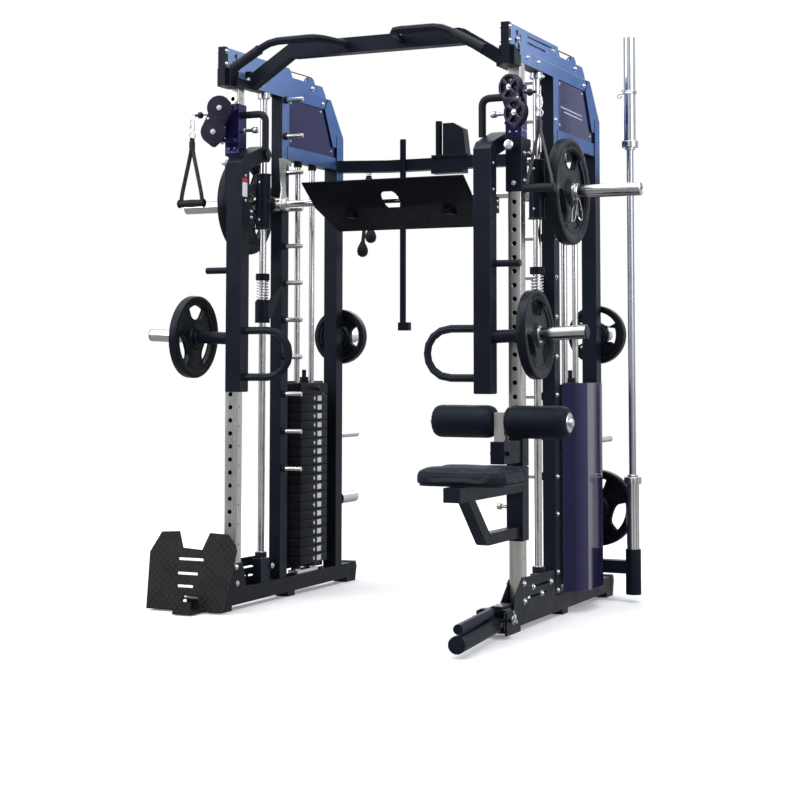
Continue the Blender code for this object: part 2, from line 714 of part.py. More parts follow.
def pulley_carriage(side):
    """Carriage with grip, pop pin and the two lugs of the swivel pin."""
    side_part(side, "pulley_carriage", "gloss", [
        column(CARRIAGE_HALF, 1.7575, 1.950),
        tube(CARRIAGE_GRIP, 0.0125),
        rod("x", (0.0, 1.847), 0.0065, 0.500, 0.556, 10),
        rod("x", (0.0, 1.847), 0.0120, 0.488, 0.508, 12),
        box(0.560, 0.638, -0.055, -0.029, 1.800, 1.812),
        box(0.560, 0.638, -0.055, -0.029, 1.930, 1.942),
    ], [column(BORE_HALF, 1.700, 2.000)], origin=(RX, 0, 1.850))


# Cover plate round both wheels: x, z
WHEEL_COVER = [
    *arc(*UPPER_WHEEL, 0.047, -28, 208, 14), (0.594, 1.876),
    *arc(*LOWER_WHEEL, 0.047, 152, 388, 14), (0.670, 1.884),
]


def swivel_block(side):
    """Upright pin, link, two wheel covers, wheel bolts and a spacer."""
    side_part(side, "swivel_block", "coat", [
        rod("z", SWIVEL, 0.009, 1.8125, 1.9295, 14),
        box(0.611, 0.625, -0.088, -0.046, 1.862, 1.900),
        plate("y", WHEEL_COVER, -0.090, -0.0865),
        plate("y", WHEEL_COVER, -0.1135, -0.110),
        rod("y", UPPER_WHEEL, 0.0050, -0.118, -0.084, 10),
        rod("y", LOWER_WHEEL, 0.0050, -0.118, -0.084, 10),
        box(0.6580, 0.6660, -0.1125, -0.0875, 1.8800, 1.8870),
    ], origin=(*SWIVEL, 1.870))


def cable_pulleys(side):
    """Two grooved wheels between the covers."""
    bore, rim, groove = 0.0054, 0.0460, 0.040
    front, middle, rear = -0.1095, -0.1000, -0.0905
    profile = [(bore, front), (rim, front), (groove, middle), (rim, rear), (bore, rear)]
    for name, (x, z) in (("upper", UPPER_WHEEL), ("lower", LOWER_WHEEL)):
        side_part(side, f"{name}_pulley", "coat", [turned("y", (x, z), profile, 20)],
                  origin=(x, middle, z))


def turn_swivel(side):
    """Turn the block, its join helper and its wheels about the upright pin."""
    pin = Vector((SWIVEL[0] * side, SWIVEL[1], 0))
    yaw = Matrix.Rotation(math.radians(YAW) * side, 4, "Z")
    turn = Matrix.Translation(pin) @ yaw @ Matrix.Translation(-pin)
    # World matrices of new objects are only valid after an update.
    bpy.context.view_layer.update()
    for name in ("swivel_block", "swivel_block_join", "upper_pulley", "lower_pulley"):
        obj = bpy.data.objects[f"{SIDE_WORDS[side]}_{name}"]
        obj.matrix_world = turn @ obj.matrix_world


# ------------------------------------------------------------------ seat and rollers (right)
# Brace under the seat beam: y, z
SEAT_BRACE = [
    (-0.029, 0.324), (-0.029, 0.362), (-0.320, 0.364), (-0.460, 0.492), (-0.520, 0.492),
    (-0.352, 0.330), (-0.335, 0.324),
]


def seat_frame():
    """Carriage, forward beam, brace, headed pin on the inner side, pad plate."""
    part("seat_frame", "coat", [
        column(SEAT_CARRIAGE_HALF, 0.312, 0.573),
        frame_box(0.030, -0.610, -0.029, 0.486, 0.534),
        frame_plate(SEAT_BRACE, 0.020),
        rod("x", (-0.005, 0.430), 0.007, RX - 0.062, RX - 0.030, 10),
        rod("x", (-0.005, 0.430), 0.012, RX - 0.075, RX - 0.060, 12),
        frame_box(0.090, -0.520, -0.330, 0.5335, 0.5385),
    ], [column(BORE_HALF, 0.200, 0.700)], origin=(RX, 0, 0.440))


def seat_pad():
    middle_y, half_width, half_depth = -0.425, 0.165, 0.150
    outline = rounded(RX - half_width, RX + half_width,
                      middle_y - half_depth, middle_y + half_depth, 0.055)
    part("seat_pad", "vinyl", [plate("z", outline, 0.5390, 0.5930)], origin=(RX, middle_y, 0.539))


def roller_post():
    """Carriage, arm and post with the roller axle, a cross bolt and a headed pin."""
    part("roller_post", "coat", [
        column(SEAT_CARRIAGE_HALF, 0.576, 0.682),
        frame_box(0.026, -0.200, -0.029, 0.590, 0.668),
        frame_box(0.019, -0.182, -0.138, 0.640, 0.770),
        frame_rod(ROLLER, 0.0115, 0.262, 14),
        frame_rod((-0.170, 0.626), 0.008, 0.036, 10),
        rod("x", (0.0, 0.640), 0.0065, RX - 0.060, RX - 0.030, 10),
        rod("x", (0.0, 0.640), 0.0110, RX - 0.072, RX - 0.058, 12),
    ], [column(BORE_HALF, 0.500, 0.700)], origin=(RX, *ROLLER))


def knee_rollers():
    near, far = 0.0225, 0.2500    # roller ends, from the centre plane
    bore, rim, face, bevel = 0.0120, 0.0595, 0.052, 0.008
    for word, x0, x1 in (("inner", RX - far, RX - near), ("outer", RX + near, RX + far)):
        part(f"{word}_knee_roller", "foam", [turned("x", ROLLER, [
            (bore, x0), (face, x0), (rim, x0 + bevel), (rim, x1 - bevel), (face, x1), (bore, x1),
        ], 20)], origin=((x0 + x1) / 2, *ROLLER))


# ------------------------------------------------------------------ landmine (right)
def landmine_swivel():
    """Upper and lower eye plates, two side cheeks and the block between the plates."""
    x0, x1 = MINE_X - 0.056, MINE_X + 0.056
    cheek = 0.007
    eye = arc(*MINE, 0.043, 0, 180, 8)
    upper = eye + [(x0, MINE_Y - 0.010), (x0, -0.232), (x1, -0.232), (x1, MINE_Y - 0.010)]
    lower = eye + [(x0, MINE_Y - 0.008), (x1, MINE_Y - 0.008)]
    part("landmine_swivel", "coat", [
        plate("z", upper, 0.0880, 0.0960),
        plate("z", lower, 0.0120, 0.0200),
        box(x0, x0 + cheek, -0.262, MINE_Y - 0.004, 0.0130, 0.0950),
        box(x1 - cheek, x1, -0.262, MINE_Y - 0.004, 0.0130, 0.0950),
        box(MINE_X - 0.024, MINE_X + 0.024, -0.205, -0.165, 0.0190, 0.0890),
    ], [
        rod("x", TILT, 0.0066, 0.500, 0.680, 12),
        rod("z", MINE, 0.0097, 0.000, 0.120, 14),
    ], origin=(*MINE, 0.055))


def landmine_tubes():
    """Wide tube pointing forward, a thinner one above it, a link and the tilt pin."""
    outward = math.radians(6.3)    # the tubes point this far off straight ahead
    tube_z = 0.045
    ahead = Vector((math.sin(outward), -math.cos(outward), 0))
    base = Vector((MINE_X, TILT[0], tube_z))
    upper = base + Vector((0, 0, 0.048))
    part("landmine_tubes", "coat", [
        rod_between(base - ahead * 0.010, base + ahead * 0.462, 0.0290, 20),
        rod_between(upper + ahead * 0.060, upper + ahead * 0.447, 0.0165),
        box(0.583, 0.609, -0.340, -0.300, tube_z, 0.090),
        rod("x", TILT, 0.0060, MINE_X - 0.071, MINE_X + 0.071, 12),
        rod("x", TILT, 0.0110, 0.508, 0.517, 12),
    ], origin=(MINE_X, *TILT))


# ------------------------------------------------------------------ foot plate (left)
# x, z
FOOT_PLATE = [
    (-0.868, 0.006), (-0.853, 0.222), (-0.800, 0.300), (-0.722, 0.305), (-0.706, 0.243),
    (-0.622, 0.238), (-0.588, 0.303), (-0.507, 0.300), (-0.477, 0.262), (-0.472, 0.238),
    (-0.533, 0.008), (-0.628, 0.006), (-0.640, 0.060), (-0.700, 0.064), (-0.714, 0.012),
]
# x0, x1, z0, z1
FOOT_PLATE_SLOTS = [
    (-0.725, -0.615, 0.196, 0.206), (-0.730, -0.640, 0.142, 0.152), (-0.730, -0.660, 0.094, 0.104),
]


def foot_plate():
    """Upright slotted plate in front of the left beam, with small plates at its foot."""
    part("foot_plate", "tread", [
        plate("y", FOOT_PLATE, -0.165, -0.160),
        box(-0.712, -0.632, -0.162, -0.120, 0.050, 0.056),
        box(-0.712, -0.632, -0.126, -0.120, 0.006, 0.056),
        box(-0.706, -0.620, -0.240, -0.120, 0.004, 0.010),
        box(-0.700, -0.625, -0.245, -0.235, 0.004, 0.052),
        box(-0.860, -0.630, -0.161, -0.110, 0.006, 0.011),
    ], [plate("y", rounded(*slot, 0.004, 2), -0.200, -0.140) for slot in FOOT_PLATE_SLOTS],
        origin=(-0.670, -0.165, 0.0))


# ------------------------------------------------------------------ barbell and stored plates
def barbell():
    """Barbell standing in its cup: bar, two sleeves, two collars."""
    bottom, sleeve, collar = 0.050, 0.0250, 0.0340
    part("barbell", "chrome", [
        rod("z", BARBELL, 0.0140, 0.480, 1.840),
        rod("z", BARBELL, sleeve, bottom, 0.475, 20),
        rod("z", BARBELL, sleeve, 1.835, 2.260, 20),
        rod("z", BARBELL, collar, 0.466, 0.492, 20),
        rod("z", BARBELL, collar, 1.812, 1.838, 20),
    ], origin=(*BARBELL, bottom))


def stored_plate(side, name, z, radius):
    """Weight plate on a storage peg, recessed on its front face."""
    bore, front, rear = 0.0255, 0.905, 0.950
    side_part(side, name, "rubber", [turned("y", (RX, z), [
        (bore, front + 0.006), (radius - 0.026, front + 0.006), (radius - 0.018, front),
        (radius - 0.004, front), (radius, front + 0.004), (radius, rear - 0.004),
        (radius - 0.004, rear), (bore, rear),
    ], 22)], origin=(RX, front, z))


# ------------------------------------------------------------------ build
PAIRED = (
    base_beam, side_frame, front_upright, gusset_panel, pulley_bracket, guide_rod, stack_rods,
    shroud, weight_stack, lifted_plate, bar_slider, bar_hook, smith_plate, spotter,
    bumper_spring, jammer_carriage, jammer_arm, jammer_plate, pulley_carriage, swivel_block,
    cable_pulleys, turn_swivel,
)
SINGLE = (
    pull_up_bar, rear_crossmember, smith_bar, leg_press_plate, seat_frame, seat_pad,
    roller_post, knee_rollers, landmine_swivel, landmine_tubes, foot_plate, barbell,
)

for side in SIDE_WORDS:
    for build in PAIRED:
        build(side)
    stored_plate(side, "upper_stored_plate", UPPER_PEG_Z, 0.1190)
stored_plate(1, "lower_stored_plate", LOWER_PEG_Z, 0.1530)
for build in SINGLE:
    build()

# Bring the origin under the middle of the overall box.
for obj in bpy.data.objects:
    obj.location.y -= BACK
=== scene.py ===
"""Looks for a smith machine: finishes, metalwork, rubber plates, springs, cables, upholstery.

X runs across the machine with its right side at +X, Y runs to the rear and Z up, in metres.
Positions are measured from the point on the floor midway between the two front uprights;
Shape.out() moves them back into the frame's own origin.
"""

import random
from math import atan2, copysign, cos, hypot, pi, radians, sin

import bmesh
import bpy
from mathutils import Matrix, Vector, noise
from mathutils.bvhtree import BVHTree


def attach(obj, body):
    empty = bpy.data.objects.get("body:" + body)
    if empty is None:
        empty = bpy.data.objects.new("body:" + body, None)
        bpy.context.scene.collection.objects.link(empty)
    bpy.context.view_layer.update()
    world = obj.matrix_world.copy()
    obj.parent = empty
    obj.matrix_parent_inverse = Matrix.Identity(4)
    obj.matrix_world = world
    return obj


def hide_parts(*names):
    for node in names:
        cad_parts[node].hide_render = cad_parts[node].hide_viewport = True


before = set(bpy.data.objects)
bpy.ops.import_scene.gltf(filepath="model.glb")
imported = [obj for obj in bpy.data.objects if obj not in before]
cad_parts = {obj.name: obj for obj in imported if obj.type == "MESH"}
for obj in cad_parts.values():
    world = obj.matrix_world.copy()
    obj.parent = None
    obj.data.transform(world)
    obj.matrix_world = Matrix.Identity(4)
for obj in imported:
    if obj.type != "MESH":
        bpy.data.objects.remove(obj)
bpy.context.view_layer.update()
random.seed(11)  # nothing below draws at random
scene = bpy.context.scene

BACK = 0.196315                # the front uprights stand this far in front of the frame's origin
SIDES = ("right", "left")      # side pieces are built on the right and mirrored to the left

POST_X = 0.585                 # centre line of the right front upright
GUIDE = (0.583, 0.220, 0)      # axis of the right guide rod
SMITH_BAR = (0, 0.270, 1.581)  # axis of the guided bar, along X
LONG_BAR = (0.752, 0.855, 0)   # axis of the upright stored barbell
LEVER_Y = -0.114
CARRIAGE_HINGE = (0.618, -0.046, 0)
HORN_START = Vector((0.538, LEVER_Y, 1.035))
HORN_RUN = Vector((0.885, LEVER_Y, 1.050)) - HORN_START
HORN_RISE = atan2(0.015, 0.347)
STORAGE_HEIGHTS = (1.060, 0.360)
PEG_HEIGHTS = [0.518 + 0.15 * k for k in range(11)]

OUT, IN = (1, 0, 0), (-1, 0, 0)      # away from and towards the middle, on the right side
FORE, AFT = (0, -1, 0), (0, 1, 0)
UP, DOWN = (0, 0, 1), (0, 0, -1)


# ================================================================== shader nodes
MATERIALS = {}
COOL = (0.80, 0.87, 1.0)             # tint of the highlights
COAT_DARK, COAT_LIGHT = (0.0038, 0.0050, 0.0088), (0.0075, 0.0095, 0.0165)


class Nodes:
    """A cleared node tree. Except for add(), each call that adds nodes returns output sockets."""

    def __init__(self, tree):
        self.tree = tree
        tree.nodes.clear()

    def add(self, kind, **settings):
        node = self.tree.nodes.new("ShaderNode" + kind)
        for key, value in settings.items():
            setattr(node, key, value)
        return node

    def feed(self, socket, value):
        """Links the socket to another one, or sets its value or colour."""
        if isinstance(value, bpy.types.NodeSocket):
            self.tree.links.new(value, socket)
        elif socket.type == "RGBA":
            socket.default_value = (*value, 1)
        else:
            socket.default_value = value

    def calc(self, operation, *values, clamp=False):
        node = self.add("Math", operation=operation, use_clamp=clamp)
        for socket, value in zip(node.inputs, values):
            self.feed(socket, value)
        return node.outputs[0]

    def plus(self, a, b):
        return self.calc("ADD", a, b)

    def minus(self, a, b):
        return self.calc("SUBTRACT", a, b)

    def times(self, a, b):
        return self.calc("MULTIPLY", a, b)

    def span(self, value, of, to=(0.0, 1.0), curve="LINEAR"):
        """Maps the range `of` onto the range `to`."""
        node = self.add("MapRange", interpolation_type=curve)
        self.feed(node.inputs["Value"], value)
        for key, limit in zip(("From Min", "From Max", "To Min", "To Max"), (*of, *to)):
            node.inputs[key].default_value = limit
        return node.outputs[0]

    def ramp(self, value, *stops):
        node = self.add("ValToRGB")
        elements = node.color_ramp.elements
        while len(elements) < len(stops):
            elements.new(0.5)
        for element, (position, colour) in zip(elements, stops):
            element.position = position
            element.color = (*colour, 1)
        self.feed(node.inputs[0], value)
        return node.outputs[0]

    def mix(self, share, first, second):
        """Colour mix; the share is that of the second."""
        node = self.add("Mix", data_type="RGBA")
        for index, value in ((0, share), (6, first), (7, second)):
            self.feed(node.inputs[index], value)
        return node.outputs[2]

    def xyz(self, vector):
        node = self.add("SeparateXYZ")
        self.feed(node.inputs[0], vector)
        return tuple(node.outputs)


class Material(Nodes):
    """A material on one Principled shader, patterned in the piece's own coordinates."""

    def __init__(self, name):
        material = MATERIALS[name] = bpy.data.materials.new(name)
        material.use_nodes = True
        super().__init__(material.node_tree)
        output = self.add("OutputMaterial")
        self.shader = self.add("BsdfPrincipled")
        self.feed(output.inputs[0], self.shader.outputs[0])
        self.spot = self.add("TexCoord").outputs["Object"]

    def put(self, **sockets):
        for key, value in sockets.items():
            self.feed(self.shader.inputs[key.replace("_", " ")], value)

    def noise(self, scale, detail=4.0, rough=0.6, at=None):
        node = self.add("TexNoise")
        node.inputs["Scale"].default_value = scale
        node.inputs["Detail"].default_value = detail
        node.inputs["Roughness"].default_value = rough
        self.feed(node.inputs["Vector"], at or self.spot)
        return node.outputs[0]

    def cells(self, scale, at=None, feature="F1"):
        node = self.add("TexVoronoi", feature=feature)
        node.inputs["Scale"].default_value = scale
        self.feed(node.inputs["Vector"], at or self.spot)
        return node.outputs["Distance"]

    def bump(self, height, distance, strength, under=None):
        node = self.add("Bump")
        node.inputs["Strength"].default_value = strength
        node.inputs["Distance"].default_value = distance
        self.feed(node.inputs["Height"], height)
        if under is not None:
            self.feed(node.inputs["Normal"], under)
        self.feed(self.shader.inputs["Normal"], node.outputs[0])
        return node.outputs[0]

    def blend(self, first, second, share):
        """Weighted sum with the given share of the first value."""
        return self.plus(self.times(first, share), self.times(second, 1 - share))

    def linear(self, value, slope, base):
        return self.plus(self.times(value, slope), base)

    def mottle(self):
        """Broad clouds with some finer ones in them."""
        return self.blend(self.noise(5), self.noise(60, detail=3, rough=0.55), share=0.75)

    def uneven(self, scale, rough):
        """Roughness that drifts between the two limits."""
        return self.span(self.noise(scale), of=(0.3, 0.7), to=rough)

    def tones(self, value, dark, light, stops=(0.35, 0.70)):
        return self.ramp(value, (stops[0], dark), (stops[1], light))

    def peel(self, depth):
        """Fine orange peel over slow waves."""
        fine = self.bump(self.noise(520, detail=2, rough=0.5), distance=depth, strength=0.6)
        self.bump(self.noise(24, detail=2, rough=0.5), distance=0.0006, strength=0.25, under=fine)

    def fore_highlight(self, colour):
        """The blue cast pales towards the front end."""
        y = self.xyz(self.spot)[1]
        pale = self.mix(0.50, colour, (0.42, 0.52, 0.78))
        return self.mix(self.span(y, of=(-0.30, 0.34), to=(1.0, 0.0)), colour, pale)


# ================================================================== kinds of finish
COAT_STOPS = (0.36, 0.66)


def powder(name, dark, light, rough, metal=0.0, coat=0.0, peel=0.00025, spec=0.5, cast=False):
    m = Material(name)
    colour = m.tones(m.mottle(), dark, light, COAT_STOPS)
    # with cast, the colour gets the painted highlight that pales it towards the front end
    m.put(Base_Color=m.fore_highlight(colour) if cast else colour,
          Roughness=m.uneven(17, rough), Metallic=metal, Coat_Weight=coat,
          Coat_Roughness=0.10, Specular_IOR_Level=spec, Specular_Tint=COOL)
    m.peel(peel)


def frame_coat():
    """Near black on the uprights; bluer and brighter on the sides of the top members."""
    m = Material("frame_coat")
    z = m.xyz(m.spot)[2]
    normal_x = m.xyz(m.add("NewGeometry").outputs["Normal"])[0]
    sideways = m.span(m.calc("ABSOLUTE", normal_x, 0.0), of=(0.45, 0.80), curve="SMOOTHSTEP")
    # painted reflection: faces turned sideways high up take the brighter blue instead of the coat's
    # own colour
    top = m.times(m.span(z, of=(1.66, 1.82)), sideways)
    mottle = m.mottle()
    low = m.tones(mottle, COAT_DARK, COAT_LIGHT, COAT_STOPS)
    high = m.tones(mottle, (0.063, 0.132, 0.330), (0.084, 0.168, 0.400), COAT_STOPS)
    m.put(Base_Color=m.mix(top, low, m.fore_highlight(high)), Roughness=m.uneven(17, (0.30, 0.42)),
          Metallic=m.times(top, 0.70), Specular_IOR_Level=m.linear(top, slope=0.14, base=0.12),
          Specular_Tint=COOL)
    m.peel(0.00025)


def shroud_violet():
    """Guard sheet: deep navy along its front fold, greyer violet behind the bend."""
    m = Material("shroud_violet")
    y = m.xyz(m.add("NewGeometry").outputs["Position"])[1]
    bend_share = m.span(y, of=(0.246, 0.292))
    tone = m.noise(5)
    # painted shade: the front fold is painted darker than the face behind the bend
    fold = m.tones(tone, (0.0040, 0.0034, 0.0260), (0.0060, 0.0050, 0.0360), COAT_STOPS)
    open_face = m.tones(tone, (0.0170, 0.0140, 0.0560), (0.0240, 0.0200, 0.0740), COAT_STOPS)
    m.put(Base_Color=m.mix(bend_share, fold, open_face), Roughness=m.uneven(17, (0.05, 0.11)),
          Metallic=m.linear(bend_share, slope=0.25, base=0.22), Specular_IOR_Level=0.2,
          Coat_Weight=m.linear(bend_share, slope=0.56, base=0.10), Coat_Roughness=0.08)
    m.peel(0.00005)


def plated(name, colour, rough, streak, depth, tint=None):
    """Bare metal with brush lines; streak is how finely they repeat along each axis."""
    m = Material(name)
    stretch = m.add("Mapping")
    stretch.inputs["Scale"].default_value = streak
    m.feed(stretch.inputs["Vector"], m.spot)
    lines = m.noise(1, at=stretch.outputs[0])
    cloud = m.noise(6, rough=0.55)
    dull = tuple(c * 0.80 for c in colour)
    base = m.tones(m.blend(lines, cloud, share=0.45), dull, colour, stops=(0.32, 0.58))
    if tint:
        base = m.mix(m.span(cloud, of=(0.45, 0.75), to=(0.0, 0.6)), base, tint)
    m.put(Base_Color=base, Metallic=1.0,
          Roughness=m.span(m.times(m.plus(lines, cloud), 0.5), of=(0.3, 0.7), to=rough))
    m.bump(lines, distance=depth, strength=0.5)


def rubbery(name, dark, light, rough, grain=900, depth=0.00035, scuff=False, spec=0.27):
    m = Material(name)
    colour = m.tones(m.noise(9), dark, light)
    if scuff:
        dust = m.span(m.noise(38, detail=5, rough=0.7), of=(0.56, 0.74), to=(0.0, 0.5))
        colour = m.mix(dust, colour, tuple(c * 2.2 for c in light))
    m.put(Base_Color=colour, Roughness=m.uneven(26, rough), Specular_IOR_Level=spec,
          Specular_Tint=COOL)
    pores = m.bump(m.cells(grain), distance=depth, strength=0.55)
    m.bump(m.noise(grain * 0.35, detail=3), distance=depth * 1.5, strength=0.4, under=pores)


def leathery(name, dark, light, rough, grain, depth, folds, spec):
    m = Material(name)
    # the grain follows coordinates that are slightly stirred
    stirred = m.add("Mix", data_type="VECTOR")
    stirred.inputs[0].default_value = 0.02
    stir = m.add("TexNoise")
    stir.inputs["Scale"].default_value = 60.0
    m.feed(stir.inputs["Vector"], m.spot)
    m.feed(stirred.inputs[4], m.spot)
    m.feed(stirred.inputs[5], stir.outputs[1])
    pebbles = m.cells(grain, stirred.outputs[1], "SMOOTH_F1")
    creases = m.cells(grain * 0.55, stirred.outputs[1], "DISTANCE_TO_EDGE")
    in_crease = m.span(creases, of=(0.0, 0.12), to=(0.7, 0.0))
    wear = m.blend(m.noise(12), pebbles, share=0.7)
    m.put(Base_Color=m.mix(in_crease, m.tones(m.noise(7), dark, light), dark),
          Roughness=m.span(wear, of=(0.3, 0.7), to=rough), Specular_IOR_Level=spec,
          Sheen_Weight=0.01, Specular_Tint=(0.75, 0.84, 1.0))
    soft = m.bump(m.noise(14, detail=3, rough=0.5), distance=folds, strength=0.5)
    lines = m.bump(m.span(creases, of=(0.0, 0.18)), distance=depth, strength=0.5, under=soft)
    m.bump(pebbles, distance=depth * 0.7, strength=0.35, under=lines)


def chequered(name, dark, light, along, spec, lift, pitch=0.020):
    """Tread plate: short raised bars at 45 degrees, turned by 90 degrees from one to the next.

    The pattern runs over X and over the direction `along` in Y and Z; lift brightens the bars.
    """
    m = Material(name)
    x, y, z = m.xyz(m.spot)
    run = m.plus(m.times(y, along[0]), m.times(z, along[1]))
    falling = m.times(m.plus(x, run), 0.7071 / pitch)
    rising = m.times(m.minus(x, run), 0.7071 / pitch)
    cell_a, cell_b = m.calc("FLOOR", falling, 0.0), m.calc("FLOOR", rising, 0.0)
    odd = m.calc("FLOORED_MODULO", m.plus(cell_a, cell_b), 2.0)
    in_a = m.minus(m.minus(falling, cell_a), 0.5)
    in_b = m.minus(m.minus(rising, cell_b), 0.5)

    def bar(lengthwise, crosswise, half_length=0.47, half_width=0.15):
        long_part = m.calc("POWER", m.calc("DIVIDE", lengthwise, half_length), 2.0)
        cross_part = m.calc("POWER", m.calc("DIVIDE", crosswise, half_width), 2.0)
        return m.calc("SUBTRACT", 1.0, m.plus(long_part, cross_part), clamp=True)
    one, other = bar(in_a, in_b), bar(in_b, in_a)
    height = m.plus(m.times(one, odd), m.times(other, m.minus(1.0, odd)))
    raised = m.calc("POWER", height, 0.45)
    m.put(Base_Color=m.mix(m.times(raised, 0.8), m.tones(m.noise(11), dark, light),
                           tuple(c * lift for c in light)),
          Roughness=m.uneven(30, (0.34, 0.50)), Specular_IOR_Level=spec)
    bars = m.bump(raised, distance=0.0016, strength=1.0)
    m.bump(m.noise(600, detail=2, rough=0.5), distance=0.0002, strength=0.5, under=bars)


def woven(name, colour, pitch):
    m = Material(name)
    x, _, z = m.xyz(m.spot)
    turns = 2 * pi / pitch
    weave = m.times(m.calc("SINE", m.times(m.plus(x, z), turns), 0.0),
                    m.calc("SINE", m.times(m.minus(z, x), turns), 0.0))
    m.put(Base_Color=m.tones(m.span(weave, of=(-1, 1)), tuple(c * 0.6 for c in colour),
                             tuple(c * 1.5 for c in colour), stops=(0.2, 0.8)),
          Roughness=0.78, Sheen_Weight=0.25, Sheen_Roughness=0.4)
    m.bump(weave, distance=0.0004, strength=0.8)


# ------------------------------------------------------------------ the finishes: dark, light
powder("coat", COAT_DARK, COAT_LIGHT, rough=(0.30, 0.42), spec=0.12)
# edge finishes are painted lighter than the faces they border: on the plain coat this is partly
# wear and partly a painted highlight; the blue and gloss edge finishes are painted highlights
powder("coat_worn_edge", (0.016, 0.020, 0.031), (0.028, 0.034, 0.050), rough=(0.26, 0.36),
       metal=0.1, spec=0.4)
# coat_blue: cast paints a highlight that pales its blue towards the front end
powder("coat_blue", (0.072, 0.150, 0.370), (0.094, 0.188, 0.440), rough=(0.27, 0.36),
       metal=0.70, cast=True)
frame_coat()
powder("coat_blue_edge", (0.30, 0.40, 0.62), (0.38, 0.49, 0.72), rough=(0.24, 0.32), metal=0.75)
powder("gloss_violet", (0.0130, 0.0110, 0.0640), (0.0200, 0.0165, 0.0860), rough=(0.12, 0.20),
       metal=0.40, coat=0.09, peel=0.00010, spec=0.16)
powder("gloss_edge", (0.05, 0.04, 0.12), (0.07, 0.055, 0.15), rough=(0.16, 0.22),
       metal=0.35, coat=0.6, peel=0.0001)
powder("plum_coat", (0.0140, 0.0100, 0.0230), (0.0230, 0.0165, 0.0350), rough=(0.24, 0.34),
       metal=0.35, coat=0.12, spec=0.3)
plated("nickel", (0.64, 0.62, 0.585), rough=(0.20, 0.36), streak=(260, 260, 5), depth=0.00003,
       tint=(0.52, 0.46, 0.36))
plated("chrome", (0.715, 0.70, 0.685), rough=(0.11, 0.20), streak=(40, 40, 40), depth=0.00001)
plated("zinc_bolt", (0.74, 0.74, 0.76), rough=(0.20, 0.34), streak=(300, 300, 300),
       depth=0.00004)
plated("turned_steel", (0.62, 0.62, 0.63), rough=(0.16, 0.30), streak=(3, 420, 420),
       depth=0.00004)
powder("black_oxide", (0.012, 0.012, 0.015), (0.022, 0.022, 0.027), rough=(0.28, 0.42),
       metal=0.5)
rubbery("plate_rubber", (0.0024, 0.0032, 0.0056), (0.0046, 0.0058, 0.0092),
        rough=(0.22, 0.38), scuff=True, spec=0.17)
rubbery("grip_rubber", (0.0045, 0.0048, 0.0065), (0.0080, 0.0085, 0.0110),
        rough=(0.46, 0.62), grain=520, depth=0.0005)
rubbery("black_nylon", (0.0065, 0.0070, 0.0095), (0.0110, 0.0120, 0.0160),
        rough=(0.30, 0.44), grain=700, depth=0.00015)
leathery("vinyl", (0.0024, 0.0034, 0.0070), (0.0046, 0.0062, 0.0118), rough=(0.38, 0.52),
         grain=330, depth=0.0006, folds=0.0010, spec=0.20)
leathery("roller_wrap", (0.0020, 0.0030, 0.0066), (0.0038, 0.0055, 0.0112), rough=(0.38, 0.54),
         grain=420, depth=0.0005, folds=0.0014, spec=0.14)
rubbery("stack_iron", (0.0052, 0.0060, 0.0085), (0.0095, 0.0105, 0.0140), rough=(0.38, 0.52),
        grain=600, depth=0.0003, scuff=True, spec=0.15)
chequered("tread_foot", (0.0105, 0.0100, 0.0098), (0.0200, 0.0188, 0.0175),
          along=(0.0, 1.0), spec=0.26, lift=1.25)
chequered("tread_press", (0.0016, 0.0022, 0.0044), (0.0030, 0.0040, 0.0070),
          along=(0.88, -0.47), spec=0.045, lift=1.8)
woven("strap_webbing", (0.012, 0.012, 0.015), pitch=0.0035)
woven("rope", (0.014, 0.014, 0.017), pitch=0.006)
rubbery("cable_jacket", (0.010, 0.010, 0.012), (0.018, 0.018, 0.020), rough=(0.28, 0.40),
        depth=0.0001)
rubbery("seam_thread", (0.020, 0.021, 0.026), (0.032, 0.034, 0.040), rough=(0.5, 0.6),
        depth=0.0003)
rubbery("pale_label", (0.52, 0.53, 0.55), (0.64, 0.65, 0.67), rough=(0.30, 0.42),
        grain=300, depth=0.00005)
shroud_violet()
rubbery("pale_stripe", (0.42, 0.43, 0.50), (0.52, 0.53, 0.60), rough=(0.25, 0.35),
        grain=300, depth=0.00004)
rubbery("red_band", (0.36, 0.020, 0.022), (0.42, 0.028, 0.030), rough=(0.35, 0.45),
        grain=300, depth=0.00005)
plated("satin_shaft", (0.46, 0.47, 0.49), rough=(0.26, 0.40), streak=(420, 420, 420),
       depth=0.00005)
powder("bore_shade", (0.0030, 0.0030, 0.0035), (0.0045, 0.0045, 0.0055), rough=(0.7, 0.8))


# ================================================================== outlines and paths
def basis(axis):
    """The unit axis and two directions square to it."""
    along = Vector(axis).normalized()
    side = along.cross(Vector(UP if abs(along.z) < 0.9 else AFT))
    side.normalize()
    return along, side, along.cross(side).normalized()


def corner(before, tip, after, radius, steps, reach=0.49):
    """Curve that rounds a corner, using at most the share `reach` of each edge beside it."""
    back, ahead = before - tip, after - tip
    radius = min(radius, back.length * reach, ahead.length * reach)
    start, end = tip + back.normalized() * radius, tip + ahead.normalized() * radius
    shares = [i / steps for i in range(steps + 1)]
    return [start * (1 - t) ** 2 + tip * 2 * t * (1 - t) + end * t * t for t in shares]


def bend(points, radius, steps):
    """The polyline with its corners rounded."""
    points = [Vector(p) for p in points]
    path = [points[0]]
    for before, tip, after in zip(points, points[1:], points[2:]):
        path += corner(before, tip, after, radius, steps)
    return path + [points[-1]]


def loop_bend(points, radius, steps):
    """The closed polyline with its corners rounded."""
    points = [Vector(p) for p in points]
    path = []
    for i, tip in enumerate(points):
        path += corner(points[i - 1], tip, points[(i + 1) % len(points)], radius, steps)
    return path


def round_flat(outline, radius, steps):
    """The flat outline with its corners rounded."""
    return [(p.x, p.y) for p in loop_bend([(x, y, 0) for x, y in outline], radius, steps)]


